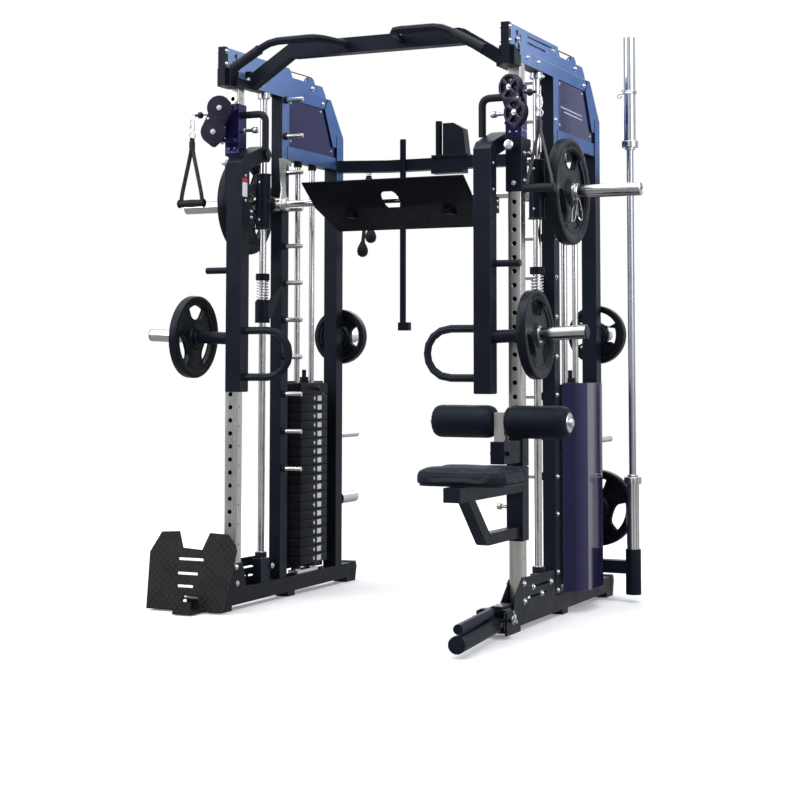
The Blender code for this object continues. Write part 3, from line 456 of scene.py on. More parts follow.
def arc(centre, radius, angles):
    return [(centre[0] + radius * cos(a), centre[1] + radius * sin(a)) for a in angles]


def ring(x, y, radius, sides):
    return arc((x, y), radius, [2 * pi * i / sides for i in range(sides)])


def fan(start, end, steps):
    return [start + (end - start) * i / steps for i in range(steps + 1)]


def rectangle(x0, x1, y0, y1):
    return [(x0, y0), (x1, y0), (x1, y1), (x0, y1)]


# ================================================================== solids
# columns: where a flat outline's first axis, second axis and thickness go
PLANES = {
    "x": Matrix(((0, 0, 1), (1, 0, 0), (0, 1, 0))),
    "y": Matrix(((1, 0, 0), (0, 0, 1), (0, 1, 0))),
    "z": Matrix(((1, 0, 0), (0, 1, 0), (0, 0, 1))),
}


class Shape:
    """Closed solids gathered into one mesh. use() picks the finish of what follows.

    ch is a chamfer or edge radius throughout.
    """

    def __init__(self, finishes=(), side=None):
        self.bm = bmesh.new()
        self.finishes = finishes
        self.side = side
        self.slot = 0

    def use(self, finish):
        self.slot = self.finishes.index(finish)

    def row(self, points):
        return [self.bm.verts.new(p) for p in points]

    def face(self, verts):
        self.bm.faces.new(verts).material_index = self.slot

    def skin(self, rows, closed=False):
        """Faces between neighbouring rows; a row of one vertex is a pole."""
        sides = max(len(row) for row in rows)
        pairs = list(zip(rows, rows[1:])) + ([(rows[-1], rows[0])] if closed else [])
        for a, b in pairs:
            for i in range(sides):
                j = (i + 1) % sides
                quad = [a[i % len(a)], a[j % len(a)], b[j % len(b)], b[i % len(b)]]
                quad = list(dict.fromkeys(quad))
                if len(quad) > 2:
                    self.face(quad)

    def skin_capped(self, rows, closed):
        self.skin(rows, closed)
        if not closed and len(rows[0]) > 1:
            self.face(rows[0][::-1])
        if not closed and len(rows[-1]) > 1:
            self.face(rows[-1])

    def lathe(self, at, axis, profile, sides=40, closed=False):
        """Turns (radius, height) points about an axis through at."""
        at = Vector(at)
        along, side, up = basis(axis)
        rows = []
        for radius, height in profile:
            if radius < 1e-7:
                rows.append(self.row([at + along * height]))
                continue
            turn = [2 * pi * i / sides for i in range(sides)]
            rows.append(self.row(at + along * height + (side * cos(a) + up * sin(a)) * radius
                                 for a in turn))
        self.skin_capped(rows, closed)

    def rod(self, at, axis, radius, start, end, ch, sides):
        ch = min(ch, radius * 0.4, abs(end - start) * 0.3)
        self.lathe(at, axis, [(0, start), (radius - ch, start), (radius, start + ch),
                              (radius, end - ch), (radius - ch, end), (0, end)], sides)

    def sleeve(self, at, axis, bore, radius, start, end, ch, sides=40):
        self.lathe(at, axis, [(bore + ch, start), (radius - ch, start), (radius, start + ch),
                              (radius, end - ch), (radius - ch, end), (bore + ch, end),
                              (bore, end - ch), (bore, start + ch)], sides, True)

    def tube(self, path, radius, sides=14, closed=False):
        """Carries a circle along a path."""
        points = [Vector(p) for p in path]
        count = len(points)
        tangents = []
        for i, point in enumerate(points):
            before = points[i - 1] if i > 0 or closed else point
            after = points[(i + 1) % count] if i < count - 1 or closed else point
            tangents.append((after - before).normalized())
        section = ring(0, 0, radius, sides)
        side = basis(tangents[0])[1]
        rows = []
        for i, (point, along) in enumerate(zip(points, tangents)):
            if i:
                side = tangents[i - 1].rotation_difference(along) @ side
            side = (side - along * side.dot(along)).normalized()
            up = along.cross(side)
            rows.append(self.row(point + side * x + up * y for x, y in section))
        self.skin_capped(rows, closed)

    def box(self, low, high, ch, steps=2):
        low, high = Vector(low), Vector(high)
        size = high - low
        bm = bmesh.new()
        bmesh.ops.create_cube(bm, size=1.0)
        bmesh.ops.transform(bm, matrix=Matrix.Diagonal((*size, 1)), verts=bm.verts)
        bmesh.ops.bevel(bm, geom=list(bm.edges), offset=min(ch, min(size) * 0.45),
                        segments=steps, profile=0.5, affect="EDGES")
        centre = Matrix.Translation((low + high) / 2)
        bmesh.ops.transform(bm, matrix=centre, verts=bm.verts)
        self.take(bm)

    def take(self, bm):
        """Adds another bmesh, in the current finish, and frees it."""
        for face in bm.faces:
            face.material_index = self.slot
        mesh = bpy.data.meshes.new("tmp")
        bm.to_mesh(mesh)
        bm.free()
        self.bm.from_mesh(mesh)
        bpy.data.meshes.remove(mesh)

    def plate(self, plane, outline, start, end, holes=(), ch=0.0006, steps=1, at=(0, 0, 0)):
        """Flat plate from an outline and its holes, between start and end along its normal."""
        curve = bpy.data.curves.new("tmp", "CURVE")
        curve.dimensions = "2D"
        curve.fill_mode = "BOTH"
        curve.extrude = abs(end - start) / 2 - ch
        curve.bevel_depth = ch
        curve.bevel_resolution = steps
        curve.offset = -ch
        for line in (outline, *holes):
            spline = curve.splines.new("POLY")
            spline.points.add(len(line) - 1)
            for point, (x, y) in zip(spline.points, line):
                point.co = (x, y, 0, 1)
            spline.use_cyclic_u = True
        ob = bpy.data.objects.new("tmp", curve)
        mesh = bpy.data.meshes.new_from_object(ob)
        bm = bmesh.new()
        bm.from_mesh(mesh)
        bmesh.ops.remove_doubles(bm, verts=bm.verts, dist=1e-6)
        middle = Vector((0, 0, 0))
        middle["xyz".index(plane)] = (start + end) / 2
        stand = Matrix.Translation(at) @ Matrix.Translation(middle) @ PLANES[plane].to_4x4()
        bmesh.ops.transform(bm, matrix=stand, verts=bm.verts)
        if stand.determinant() < 0:
            bmesh.ops.reverse_faces(bm, faces=bm.faces)
        bpy.data.objects.remove(ob)
        bpy.data.curves.remove(curve)
        bpy.data.meshes.remove(mesh)
        self.take(bm)

    def bolt(self, at, axis, radius, height, washer=True):
        """Domed hexagon head, on a washer where asked, pointing along axis."""
        along, side, up = basis(axis)
        at = Vector(at)
        base = 0.0
        if washer:
            base = 0.0012
            self.rod(at, axis, radius * 1.45, 0.0, base, ch=0.0003, sides=24)
        rows = []
        for r, h in ((radius, base), (radius, base + height * 0.8),
                     (radius * 0.86, base + height)):
            rows.append(self.row(at + along * h + (side * cos(i * pi / 3)
                                                   + up * sin(i * pi / 3)) * r
                                 for i in range(6)))
        self.skin(rows)
        self.face(rows[-1])
        self.face(rows[0][::-1])
        self.lathe(at + along * (base + height), axis,
                   [(0, -0.0002), (radius * 0.5, -0.0002), (radius * 0.46, 0.0012),
                    (radius * 0.3, 0.0020), (0, 0.0023)], 16)

    def screw(self, at, axis, radius):
        """Button head with a round socket."""
        profile = [(0, -0.0002), (radius, -0.0002), (radius, 0.0008), (radius * 0.86, 0.0024),
                   (radius * 0.55, 0.0033), (radius * 0.42, 0.0034), (radius * 0.38, 0.0014),
                   (0, 0.0012)]
        self.lathe(at, axis, profile, 24)

    def mirror(self):
        bmesh.ops.scale(self.bm, vec=(-1, 1, 1), verts=self.bm.verts)
        bmesh.ops.reverse_faces(self.bm, faces=self.bm.faces)

    def mesh(self, name):
        """Turns the shape into mesh data, with its normals pointing outwards."""
        bmesh.ops.recalc_face_normals(self.bm, faces=self.bm.faces)
        mesh = bpy.data.meshes.new(name)
        self.bm.to_mesh(mesh)
        self.bm.free()
        return mesh

    def out(self, name, body, replaces=None, sharp=34):
        bmesh.ops.translate(self.bm, vec=(0, -BACK, 0), verts=self.bm.verts)
        return place(name, self.mesh(name), self.finishes, body, replaces, sharp)


def place(name, mesh, finishes, body, replaces=None, sharp=34):
    """Makes the object; edges turning by more than `sharp` degrees stay hard."""
    ob = bpy.data.objects.new(name, mesh)
    scene.collection.objects.link(ob)
    for finish in finishes:
        mesh.materials.append(MATERIALS[finish])
    mesh.polygons.foreach_set("use_smooth", [True] * len(mesh.polygons))
    mesh.set_sharp_from_angle(angle=radians(sharp))
    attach(ob, body)
    if replaces:
        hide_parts(replaces)
    return ob


def build(make, name, finishes, body, replaces=None, sharp=34, side=None):
    """One object from make(part).

    With a side, the name gets it as a prefix, "{side}" in body and replaces is filled in,
    and the left piece is mirrored.
    """
    part = Shape(finishes, side)
    make(part)
    if side:
        name = f"{side}_{name}"
        body = body.format(side=side)
        replaces = replaces and replaces.format(side=side)
    if side == "left":
        part.mirror()
    return part.out(name, body, replaces, sharp)


def both(make, name, finishes, body, replaces=None):
    for side in SIDES:
        build(make, name, finishes, body, replaces, side=side)


def baked(ob):
    """The object's mesh with its modifiers applied."""
    depsgraph = bpy.context.evaluated_depsgraph_get()
    return bpy.data.meshes.new_from_object(ob.evaluated_get(depsgraph), depsgraph=depsgraph)


# ================================================================== CAD nodes that keep their shape
def dress(node, main, edge, width):
    """Gives a CAD node its finish and softened edges, the edges in a finish of their own."""
    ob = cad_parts[node]
    mesh = ob.data
    mesh.materials.clear()
    mesh.materials.append(MATERIALS[main])
    if edge:
        mesh.materials.append(MATERIALS[edge])
    for face in mesh.polygons:
        face.material_index = 0
        face.use_smooth = True
    weld = ob.modifiers.new("weld", "WELD")
    weld.merge_threshold = 1e-5
    flat = ob.modifiers.new("flat", "DECIMATE")
    flat.decimate_type = "DISSOLVE"
    flat.angle_limit = radians(0.6)
    bevel = ob.modifiers.new("edge", "BEVEL")
    bevel.width = width
    bevel.segments = 2
    bevel.limit_method = "ANGLE"
    bevel.angle_limit = radians(32)
    bevel.use_clamp_overlap = True
    bevel.miter_outer = "MITER_ARC"
    if edge:
        bevel.material = 1
    normals = ob.modifiers.new("normals", "WEIGHTED_NORMAL")
    normals.keep_sharp = False
    normals.weight = 80


def refinish(node, finish, chosen):
    """Gives another finish to the CAD faces whose centre passes chosen(x, y, z)."""
    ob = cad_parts[node]
    ob.data.materials.append(MATERIALS[finish])
    ob.modifiers["flat"].delimit = {"MATERIAL"}
    for face in ob.data.polygons:
        centre = ob.matrix_world @ face.center
        if chosen(centre.x, centre.y + BACK, centre.z):
            face.material_index = len(ob.data.materials) - 1


# node, finish, edge finish, bevel width
SIDE_NODES = (
    ("base_beam", "coat", "coat_worn_edge", 0.0018),
    ("side_frame", "frame_coat", None, 0.0016),
    ("gusset_panel", "gloss_violet", "gloss_edge", 0.0012),
    ("pulley_bracket", "coat_blue", "coat_blue_edge", 0.0008),
    ("guide_rod", "chrome", None, 0.0006),
    ("stack_rods", "chrome", None, 0.0006),
    ("shroud", "shroud_violet", "gloss_edge", 0.0006),
    ("lifted_plate", "stack_iron", "coat_worn_edge", 0.0014),
    ("bar_slider", "coat", "coat_worn_edge", 0.0012),
    ("bar_hook", "nickel", None, 0.0006),
    ("spotter", "coat", "coat_worn_edge", 0.0010),
    ("jammer_carriage", "coat", "coat_worn_edge", 0.0014),
    ("jammer_arm", "coat", "coat_worn_edge", 0.0018),
    ("pulley_carriage", "gloss_violet", "gloss_edge", 0.0014),
)
SINGLE_NODES = (
    ("pull_up_bar", "coat", "coat_worn_edge", 0.0016),
    ("rear_crossmember", "coat", "coat_worn_edge", 0.0014),
    ("smith_bar", "chrome", None, 0.0008),
    ("leg_press_plate", "tread_press", "coat_worn_edge", 0.0010),
    ("seat_frame", "coat", "coat_worn_edge", 0.0014),
    ("roller_post", "coat", "coat_worn_edge", 0.0012),
    ("landmine_swivel", "coat", "coat_worn_edge", 0.0010),
    ("landmine_tubes", "coat", "coat_worn_edge", 0.0010),
    ("foot_plate", "tread_foot", "coat_worn_edge", 0.0008),
    ("barbell", "chrome", None, 0.0010),
)
for side in SIDES:
    for node, *finish in SIDE_NODES:
        dress(f"{side}_{node}", *finish)
for entry in SINGLE_NODES:
    dress(*entry)

# small cross parts on the inner face of both posts, and the top of the roller post
refinish("roller_post", "nickel", lambda x, y, z:
         z > 0.692 or (x < 0.5535 and abs(z - 0.640) < 0.02 and y > -0.026))
refinish("seat_frame", "nickel", lambda x, y, z:
         x < 0.5535 and abs(z - 0.430) < 0.02 and y > -0.028)
# the long bar's thin shaft between its collars
refinish("barbell", "satin_shaft", lambda x, y, z:
         hypot(x - LONG_BAR[0], y - LONG_BAR[1]) < 0.0155 and 0.495 < z < 1.80)


# ================================================================== front uprights: hollow, drilled
POST_BOX = (0.560, 0.610, -0.025, 0.025)     # x0, x1, y0, y1
POST_Z = (0.0803, 2.0297)
POST_CORNER = 0.0045
POST_WALL = 0.003


def tube_shell():
    def outline(x0, x1, y0, y1, r):
        corners = ((x1 - r, y1 - r, 0), (x0 + r, y1 - r, pi / 2), (x0 + r, y0 + r, pi),
                   (x1 - r, y0 + r, 1.5 * pi))
        return [(cx + r * cos(start + pi / 2 * i / 5), cy + r * sin(start + pi / 2 * i / 5))
                for cx, cy, start in corners for i in range(6)]
    x0, x1, y0, y1 = POST_BOX
    outer = outline(*POST_BOX, POST_CORNER)
    inner = outline(x0 + POST_WALL, x1 - POST_WALL, y0 + POST_WALL, y1 - POST_WALL,
                    POST_CORNER - POST_WALL)
    low, high = POST_Z
    shell = Shape()
    shell.skin([shell.row((x, y, z) for x, y in line)
                for line, z in ((outer, low), (outer, high), (inner, high), (inner, low))],
               closed=True)
    return shell.mesh("body")


def drills():
    """The large bores run front to back, the small ones from side to side."""
    bm = bmesh.new()

    def drill(axis, z, radius, sides, reach=0.040):
        turn = Vector(UP).rotation_difference(Vector(axis)).to_matrix().to_4x4()
        made = bmesh.ops.create_cone(bm, cap_ends=True, segments=sides, radius1=radius,
                                     radius2=radius, depth=2 * reach)
        bmesh.ops.transform(bm, matrix=Matrix.Translation((POST_X, 0.0, z)) @ turn,
                            verts=made["verts"])
    for k in range(3, 37):
        drill(AFT, 0.1715 + 0.05 * k, radius=0.0085, sides=24)
    for k in range(24):
        stagger = 0.0 if k % 2 else 0.0005
        drill(OUT, 0.2465 + 0.075 * k + stagger, radius=0.0038, sides=14)
    mesh = bpy.data.meshes.new("tool")
    bm.to_mesh(mesh)
    bm.free()
    return mesh


def drilled_upright(part):
    meshes = tube_shell(), drills()
    body, tool = (bpy.data.objects.new(mesh.name, mesh) for mesh in meshes)
    scene.collection.objects.link(body)
    scene.collection.objects.link(tool)
    cut = body.modifiers.new("cut", "BOOLEAN")
    cut.object = tool
    cut.operation = "DIFFERENCE"
    cut.solver = "EXACT"
    result = baked(body)
    part.bm.from_mesh(result)
    for ob in (body, tool):
        bpy.data.objects.remove(ob)
    for mesh in (*meshes, result):
        bpy.data.meshes.remove(mesh)
    # everything inside the outer skin is in shade
    for face in part.bm.faces:
        centre = face.calc_center_median()
        if abs(centre.x - POST_X) < 0.0235 and abs(centre.y) < 0.0235:
            face.material_index = 1


for side in SIDES:
    upright = build(drilled_upright, "drilled_upright", ["nickel", "bore_shade"], "frame",
                    "{side}_front_upright", sharp=40, side=side)
    bevel = upright.modifiers.new("edge", "BEVEL")
    bevel.width = 0.0005
    bevel.segments = 1
    bevel.limit_method = "ANGLE"
    bevel.angle_limit = radians(60)


# ================================================================== weight plates
# (x, y) of the openings' inner edge, as shares of the plate's radius
DIP = ((-0.270, 0.455), (-0.165, 0.410), (0.0, 0.400), (0.165, 0.410), (0.270, 0.455))


def opening(radius, turn):
    """One of the three grip openings: wide arc outside, dipping towards the hub."""
    outer = radius * 0.790
    points = [Vector((outer * sin(t), outer * cos(t), 0))
              for t in fan(radians(31), radians(-31), 14)]
    points += [Vector((radius * x, radius * y, 0)) for x, y in DIP]
    path = []
    for i, tip in enumerate(points):
        arc_end = i in (0, 14)
        path += corner(points[i - 1], tip, points[(i + 1) % len(points)],
                       radius * (0.055 if arc_end else 0.10),
                       steps=4 if arc_end or i > 14 else 1, reach=0.48)
    return [(p.x * cos(turn) - p.y * sin(turn), p.x * sin(turn) + p.y * cos(turn))
            for p in path]


def grip_plate(part, at, plane, radius, width, phase, bore):
    """Rubber-covered tri-grip plate centred on at, its axis along x or y."""
    at = Vector(at)
    axis = Vector(OUT if plane == "x" else AFT)

    def flat(u, v):
        return Vector((0, u, v)) if plane == "x" else Vector((u, 0, v))
    half = width / 2
    web = min(0.011, half * 0.62)
    hub = max(0.046, radius * 0.27)
    part.use("plate_rubber")
    # rim with a broad rounded tread
    rim = [(0.800, -0.80), (0.835, -0.97), (0.960, -1), (0.990, -0.90), (1, -0.66), (1, 0.66),
           (0.990, 0.90), (0.960, 1), (0.835, 0.97), (0.800, 0.80), (0.792, 0.4),
           (0.792, -0.4)]
    part.lathe(at, axis, [(radius * r, half * h) for r, h in rim], 96, True)
    # web with the three openings, and lips around them
    holes = [opening(radius, phase + 2 * pi * i / 3) for i in range(3)]
    part.plate(plane, ring(0, 0, radius * 0.81, 72), -web, web,
               [ring(0, 0, hub * 0.8, 40)] + holes, 0.0028, 2, at)
    for line in holes:
        for way in (-1, 1):
            part.tube([at + flat(u, v) * 1.004 + axis * way * (web - 0.0008) for u, v in line],
                      min(0.0032, radius * 0.018), 8, True)
    for i in range(3):
        # raised rim sector at each spoke
        spoke = phase + pi / 2 + 2 * pi * i / 3 + pi / 3
        sector = arc((0, 0), radius * 0.80, fan(spoke - 0.46, spoke + 0.46, 12))
        sector += arc((0, 0), radius * 0.705, fan(spoke + 0.42, spoke - 0.42, 12))
        for way in (-1, 1):
            part.plate(plane, sector, way * (web - 0.001), way * (half * 0.82), (), 0.0016, 2, at)
        # short ribs across the rim, outside each grip
        grip = phase + pi / 2 + 2 * pi * i / 3
        for j in range(9):
            angle = grip + (j - 4) * 0.115
            ray = flat(cos(angle), sin(angle))
            for way in (-1, 1):
                start = at + ray * (radius * 0.845) + axis * way * (half * 0.965)
                end = at + ray * (radius * 0.925) + axis * way * (half * 0.985)
                part.tube([start, start * 0.5 + end * 0.5, end], min(0.0016, radius * 0.010), 6)
    # hub boss and its steel insert
    part.lathe(at, axis, [
        (bore + 0.004, -half), (hub * 0.84, -half), (hub * 0.93, -half + 0.002),
        (hub, -web - 0.003), (hub * 1.10, -web + 0.001), (hub * 1.10, web - 0.001),
        (hub, web + 0.003), (hub * 0.93, half - 0.002), (hub * 0.84, half),
        (bore + 0.004, half)], 64, True)
    part.use("turned_steel")
    part.lathe(at, axis, [
        (bore, -half + 0.0004), (bore + 0.0062, -half - 0.0002), (bore + 0.0066, -half * 0.8),
        (bore + 0.0042, 0.0), (bore + 0.0066, half * 0.8), (bore + 0.0062, half + 0.0002),
        (bore, half - 0.0004)], 56, True)


def weight_plate(name, body, replaces, at, plane, radius, width=0.043, phase=0.0, bore=0.0253,
                 tilt=0.0):
    def make(part):
        grip_plate(part, at, plane, radius, width, phase, bore)
        if tilt:
            bmesh.ops.rotate(part.bm, cent=at, matrix=Matrix.Rotation(tilt, 3, "Y"),
                             verts=part.bm.verts)
    build(make, name, ["plate_rubber", "turned_steel"], body, replaces, sharp=38)


for side, way in zip(SIDES, (1, -1)):
    weight_plate(f"{side}_bar_grip_plate", f"{side}_bar_plate", f"{side}_smith_plate",
                 (way * 0.6905, *SMITH_BAR[1:]), "x", radius=0.199)
for side, way in zip(SIDES, (1, -1)):
    weight_plate(f"{side}_lever_grip_plate", f"{side}_lever_plate", f"{side}_jammer_plate",
                 (way * 0.6975, LEVER_Y, 1.0419), "x", radius=0.158, width=0.035,
                 bore=0.0243, tilt=-way * HORN_RISE)
for side, level, full_level, way, z, radius, phase in (
        ("right", "high", "upper", 1, STORAGE_HEIGHTS[0], 0.119, -0.52),
        ("left", "high", "upper", -1, STORAGE_HEIGHTS[0], 0.119, 0.52),
        ("right", "low", "lower", 1, STORAGE_HEIGHTS[1], 0.153, 0.2)):
    weight_plate(f"{side}_{level}_plate", f"{side}_{level}_stored",
                 f"{side}_{full_level}_stored_plate", (way * POST_X, 0.9275, z), "y", radius,
                 phase=phase)


# ================================================================== bumper springs
def shock_spring(part):
    part.use("coat")
    part.sleeve(GUIDE, UP, 0.0145, 0.0278, 1.2725, 1.2995, ch=0.0015)
    part.sleeve(GUIDE, UP, 0.0145, 0.0255, 1.1900, 1.1955, ch=0.001)
    part.use("chrome")
    radius, turns, per_turn = 0.0215, 6.5, 26
    path = []
    steps = int(turns * per_turn)
    for i, z in enumerate(fan(1.1975, 1.2702, steps)):
        angle = 2 * pi * turns * i / steps
        path.append(Vector(GUIDE) + Vector((radius * cos(angle), radius * sin(angle), z)))
    part.tube(path, 0.0029, 12)


both(shock_spring, "shock_spring", ["chrome", "coat"], "{side}_safety",
     "{side}_bumper_spring")


# ================================================================== cable wheels and swivel blocks
UPPER_WHEEL, LOWER_WHEEL = (0.620, 1.9265), (0.644, 1.8330)      # x, z of the axles
WHEEL_PROFILE = [
    (0.0375, -0.1092), (0.0452, -0.1092), (0.0459, -0.1080), (0.0418, -0.1030),
    (0.0398, -0.1000), (0.0418, -0.0970), (0.0459, -0.0920), (0.0452, -0.0908),
    (0.0375, -0.0908), (0.0366, -0.0930), (0.0366, -0.1070)]


def yaw(part):
    """Turns a piece of the right wheel block inwards about the block's upright pin."""
    bmesh.ops.rotate(part.bm, cent=CARRIAGE_HINGE, verts=part.bm.verts,
                     matrix=Matrix.Rotation(radians(-20.0), 3, "Z"))


def cable_wheel(part, centre):
    """Grooved nylon wheel with a recessed web, five lightening holes and spokes between."""
    x, z = centre
    part.lathe((x, 0, z), AFT, WHEEL_PROFILE, 64, True)
    hole_turns = [2 * pi * i / 5 + 0.3 for i in range(5)]
    holes = [ring(*at, 0.0068, 20) for at in arc(centre, 0.0245, hole_turns)]
    part.plate("y", ring(x, z, 0.0375, 56), -0.1035, -0.0965,
               [ring(x, z, 0.008, 24)] + holes, 0.0008, 1)
    for i in range(5):
        angle = 2 * pi * (i + 0.5) / 5 + 0.3
        for y in (-0.1046, -0.0954):
            part.tube([(x + r * cos(angle), y, z + r * sin(angle))
                       for r in (0.011, 0.024, 0.0372)], 0.0017, 8)
    part.use("zinc_bolt")
    part.sleeve((x, 0, z), AFT, 0.0052, 0.0105, -0.1094, -0.0906, 0.0008, 32)
    yaw(part)


for level, wheel in (("upper", UPPER_WHEEL), ("lower", LOWER_WHEEL)):
    both(lambda part: cable_wheel(part, wheel), f"{level}_cable_wheel",
         ["black_nylon", "zinc_bolt"], f"{{side}}_{level}_wheel",
         f"{{side}}_{level}_pulley")


def cheek_windows(centre):
    """Four rounded windows round a wheel's axle."""
    half = radians(33)
    windows = []
    for quarter in range(4):
        middle = radians(90 * quarter + 90)
        points = arc(centre, 0.0375, fan(middle - half, middle + half, 8))
        points += arc(centre, 0.0145, fan(middle + half / 2, middle - half / 2, 3))
        windows.append(round_flat(points, 0.0022, 2))
    return windows


def swivel_head(part):
    """Two cheeks round both wheels with a pointed tail below; only the right ones are open."""
    def rounding(wheel, start, stop):
        return arc(wheel, 0.0475, [radians(d) for d in range(start, stop, 8)])
    outline = [*rounding(UPPER_WHEEL, -26, 207), (0.5925, 1.876),
               *rounding(LOWER_WHEEL, 154, 229), (0.638, 1.7755), (0.648, 1.7755),
               *rounding(LOWER_WHEEL, 312, 387), (0.672, 1.884)]
    right = part.side == "right"
    windows = cheek_windows(UPPER_WHEEL) + cheek_windows(LOWER_WHEEL) if right else []
    for start, end in ((-0.0900, -0.0866), (-0.1134, -0.1100)):
        part.plate("y", outline, start, end, windows)
    for x, z in (UPPER_WHEEL, LOWER_WHEEL):
        # pressed ring round each wheel seat
        part.lathe((x, 0, z), AFT, [(0.0400, -0.1132), (0.0412, -0.1144), (0.0446, -0.1144),
                                    (0.0458, -0.1132)], 64, True)
        if not right:
            part.lathe((x, 0, z), AFT, [(0.0090, -0.1132), (0.0100, -0.1141),
                                        (0.0125, -0.1141), (0.0135, -0.1132)], 40, True)
    # hinge pin, its barrel and the arm to the cheeks
    part.use("coat")
    part.rod(CARRIAGE_HINGE, UP, 0.0090, 1.8130, 1.9290, 0.001, 28)
    part.sleeve(CARRIAGE_HINGE, UP, 0.0092, 0.0140, 1.8620, 1.9000, 0.0012, 32)
    part.box((0.6125, -0.0872, 1.8640), (0.6235, -0.0560, 1.8980), ch=0.0015)
    part.use("zinc_bolt")
    for x, z in (UPPER_WHEEL, LOWER_WHEEL):
        part.rod((x, 0, z), AFT, 0.0050, -0.1150, -0.0850, 0.0006, 20)
        part.bolt((x, -0.1134, z), FORE, 0.0072, 0.0048)
        part.bolt((x, -0.0866, z), AFT, 0.0066, 0.0050)
    part.rod((0.6620, 0, 1.8835), AFT, 0.0032, -0.1148, -0.0850, 0.0005, 16)
    part.screw((0.6620, -0.1134, 1.8835), FORE, 0.0050)
    yaw(part)


both(swivel_head, "swivel_head", ["plum_coat", "coat", "zinc_bolt"], "{side}_wheel_block",
     "{side}_swivel_block")


# ================================================================== hand grips on the cable ends
GRIP_Y = -0.100
# (radius, height)
STOP_BALL = [(0, -0.0005), (0.0052, 0.0), (0.0118, 0.0055), (0.0132, 0.0120),
             (0.0118, 0.0185), (0.0052, 0.0245), (0, 0.0250)]
GRIP_PROFILE = [
    (0, 0.0), (0.0150, 0.0), (0.0168, 0.0020), (0.0168, 0.0050), (0.0142, 0.0075),
    (0.0142, 0.030), (0.0152, 0.058), (0.0142, 0.086), (0.0142, 0.1085), (0.0168, 0.1110),
    (0.0168, 0.1140), (0.0150, 0.1160), (0, 0.1160)]
# (x from the grip's middle, z)
HOOK_LOOP = ((-0.001, 1.894), (-0.0085, 1.884), (-0.0098, 1.862), (-0.0088, 1.846),
             (0.0, 1.8375), (0.0088, 1.846), (0.0098, 1.862), (0.0085, 1.884))
WEBBING_LEG = ((0.0016, 1.8160), (0.0030, 1.7700), (0.0120, 1.7300), (0.0430, 1.6000),
               (0.0470, 1.5720))


def webbing(part, path):
    """Flat band that lies across Y."""
    points = bend(path, 0.02, 6)
    rows = []
    for i, point in enumerate(points):
        along = (points[min(len(points) - 1, i + 1)] - points[max(0, i - 1)]).normalized()
        normal = Vector((along.z, 0, -along.x))
        rows.append(part.row(point + normal * x + Vector((0, y, 0))
                             for x, y in rectangle(-0.0016, 0.0016, -0.0125, 0.0125)))
    part.skin_capped(rows, False)


def hand_grip(part):
    """Ball stop, links, split webbing and round grip at the free end of each cable."""
    right = part.side == "right"
    ball_x = 0.686 + (-0.012 if right else 0.0)
    grip_x = ball_x + 0.036
    y = GRIP_Y
    # faceted ball, the cable end and its ferrule
    part.lathe((ball_x - 0.012, y, 1.903), OUT, STOP_BALL, 16)
    part.use("grip_rubber")
    part.tube([(ball_x - 0.030, y, 1.903), (ball_x - 0.010, y, 1.903)], 0.0028, 12)
    part.lathe((ball_x + 0.012, y, 1.903), OUT, [(0, 0.0), (0.0046, 0.0), (0.0050, 0.004),
                                                 (0.0044, 0.012), (0, 0.012)], 24)
    # link, snap hook with its gate, and the round ring that the webbing passes through
    part.use("zinc_bolt")
    part.tube([(u, y, v) for u, v in ring(grip_x - 0.008, 1.9045, 0.0105, 22)], 0.0021, 10, True)
    hook = loop_bend([(grip_x + dx, y, z) for dx, z in HOOK_LOOP], 0.006, 4)
    part.tube(hook, 0.0028 if right else 0.0019, 12, True)
    part.sleeve((grip_x + 0.0092, y, 0), UP, 0.0030, 0.0042, 1.857, 1.869, 0.0006, 20)
    part.tube([(u, y, v) for u, v in ring(grip_x, 1.826, 0.013, 26)], 0.0025, 12, True)
    # two legs of webbing to the ends of the grip, and the folded end
    part.use("strap_webbing")
    for way in (-1, 1):
        webbing(part, [(grip_x + way * dx, y, z) for dx, z in WEBBING_LEG])
    part.box((grip_x - 0.0062, y - 0.0135, 1.7740), (grip_x + 0.0062, y + 0.0135, 1.8020),
             ch=0.0012)
    part.use("grip_rubber")
    part.lathe((grip_x - 0.058, y, 1.5600), OUT, GRIP_PROFILE, 36)
    # stitches over the fold
    part.use("seam_thread")
    for z in (1.780, 1.785, 1.791, 1.796):
        part.tube([(grip_x - 0.0060, y - 0.0138, z), (grip_x, y - 0.0140, z),
                   (grip_x + 0.0060, y - 0.0138, z)], 0.0005, 5)


both(hand_grip, "hand_grip", ["black_nylon", "grip_rubber", "zinc_bolt", "strap_webbing",
                              "seam_thread"], "{side}_wheel_block")


# ================================================================== weight stacks
STACK_COUNT = 19
STACK_Z = (0.1190, 0.8155)
STACK_GAP = 0.0012


def stack_plates(part):
    """Plates, with a selector hole bushing and a weight mark on each inner face."""
    pitch = (STACK_Z[1] - STACK_Z[0]) / STACK_COUNT
    lows = [STACK_Z[0] + i * pitch for i in range(STACK_COUNT)]
    middles = [low + pitch / 2 - STACK_GAP / 2 for low in lows]
    for low in lows:
        part.box((0.5352, 0.4652, low), (0.6348, 0.7048, low + pitch - STACK_GAP), ch=0.0030)
    part.use("turned_steel")
    for z in middles:
        part.rod((0.5352, 0.585, z), IN, 0.0075, -0.0005, 0.0012, 0.0004, 20)
    part.use("pale_label")
    for z in middles:
        part.box((0.5343, 0.6130, z - 0.0105), (0.5353, 0.6480, z + 0.0105), 0.0003, 1)


both(stack_plates, "stack_plates", ["stack_iron", "turned_steel", "pale_label"], "frame",
     "{side}_weight_stack")


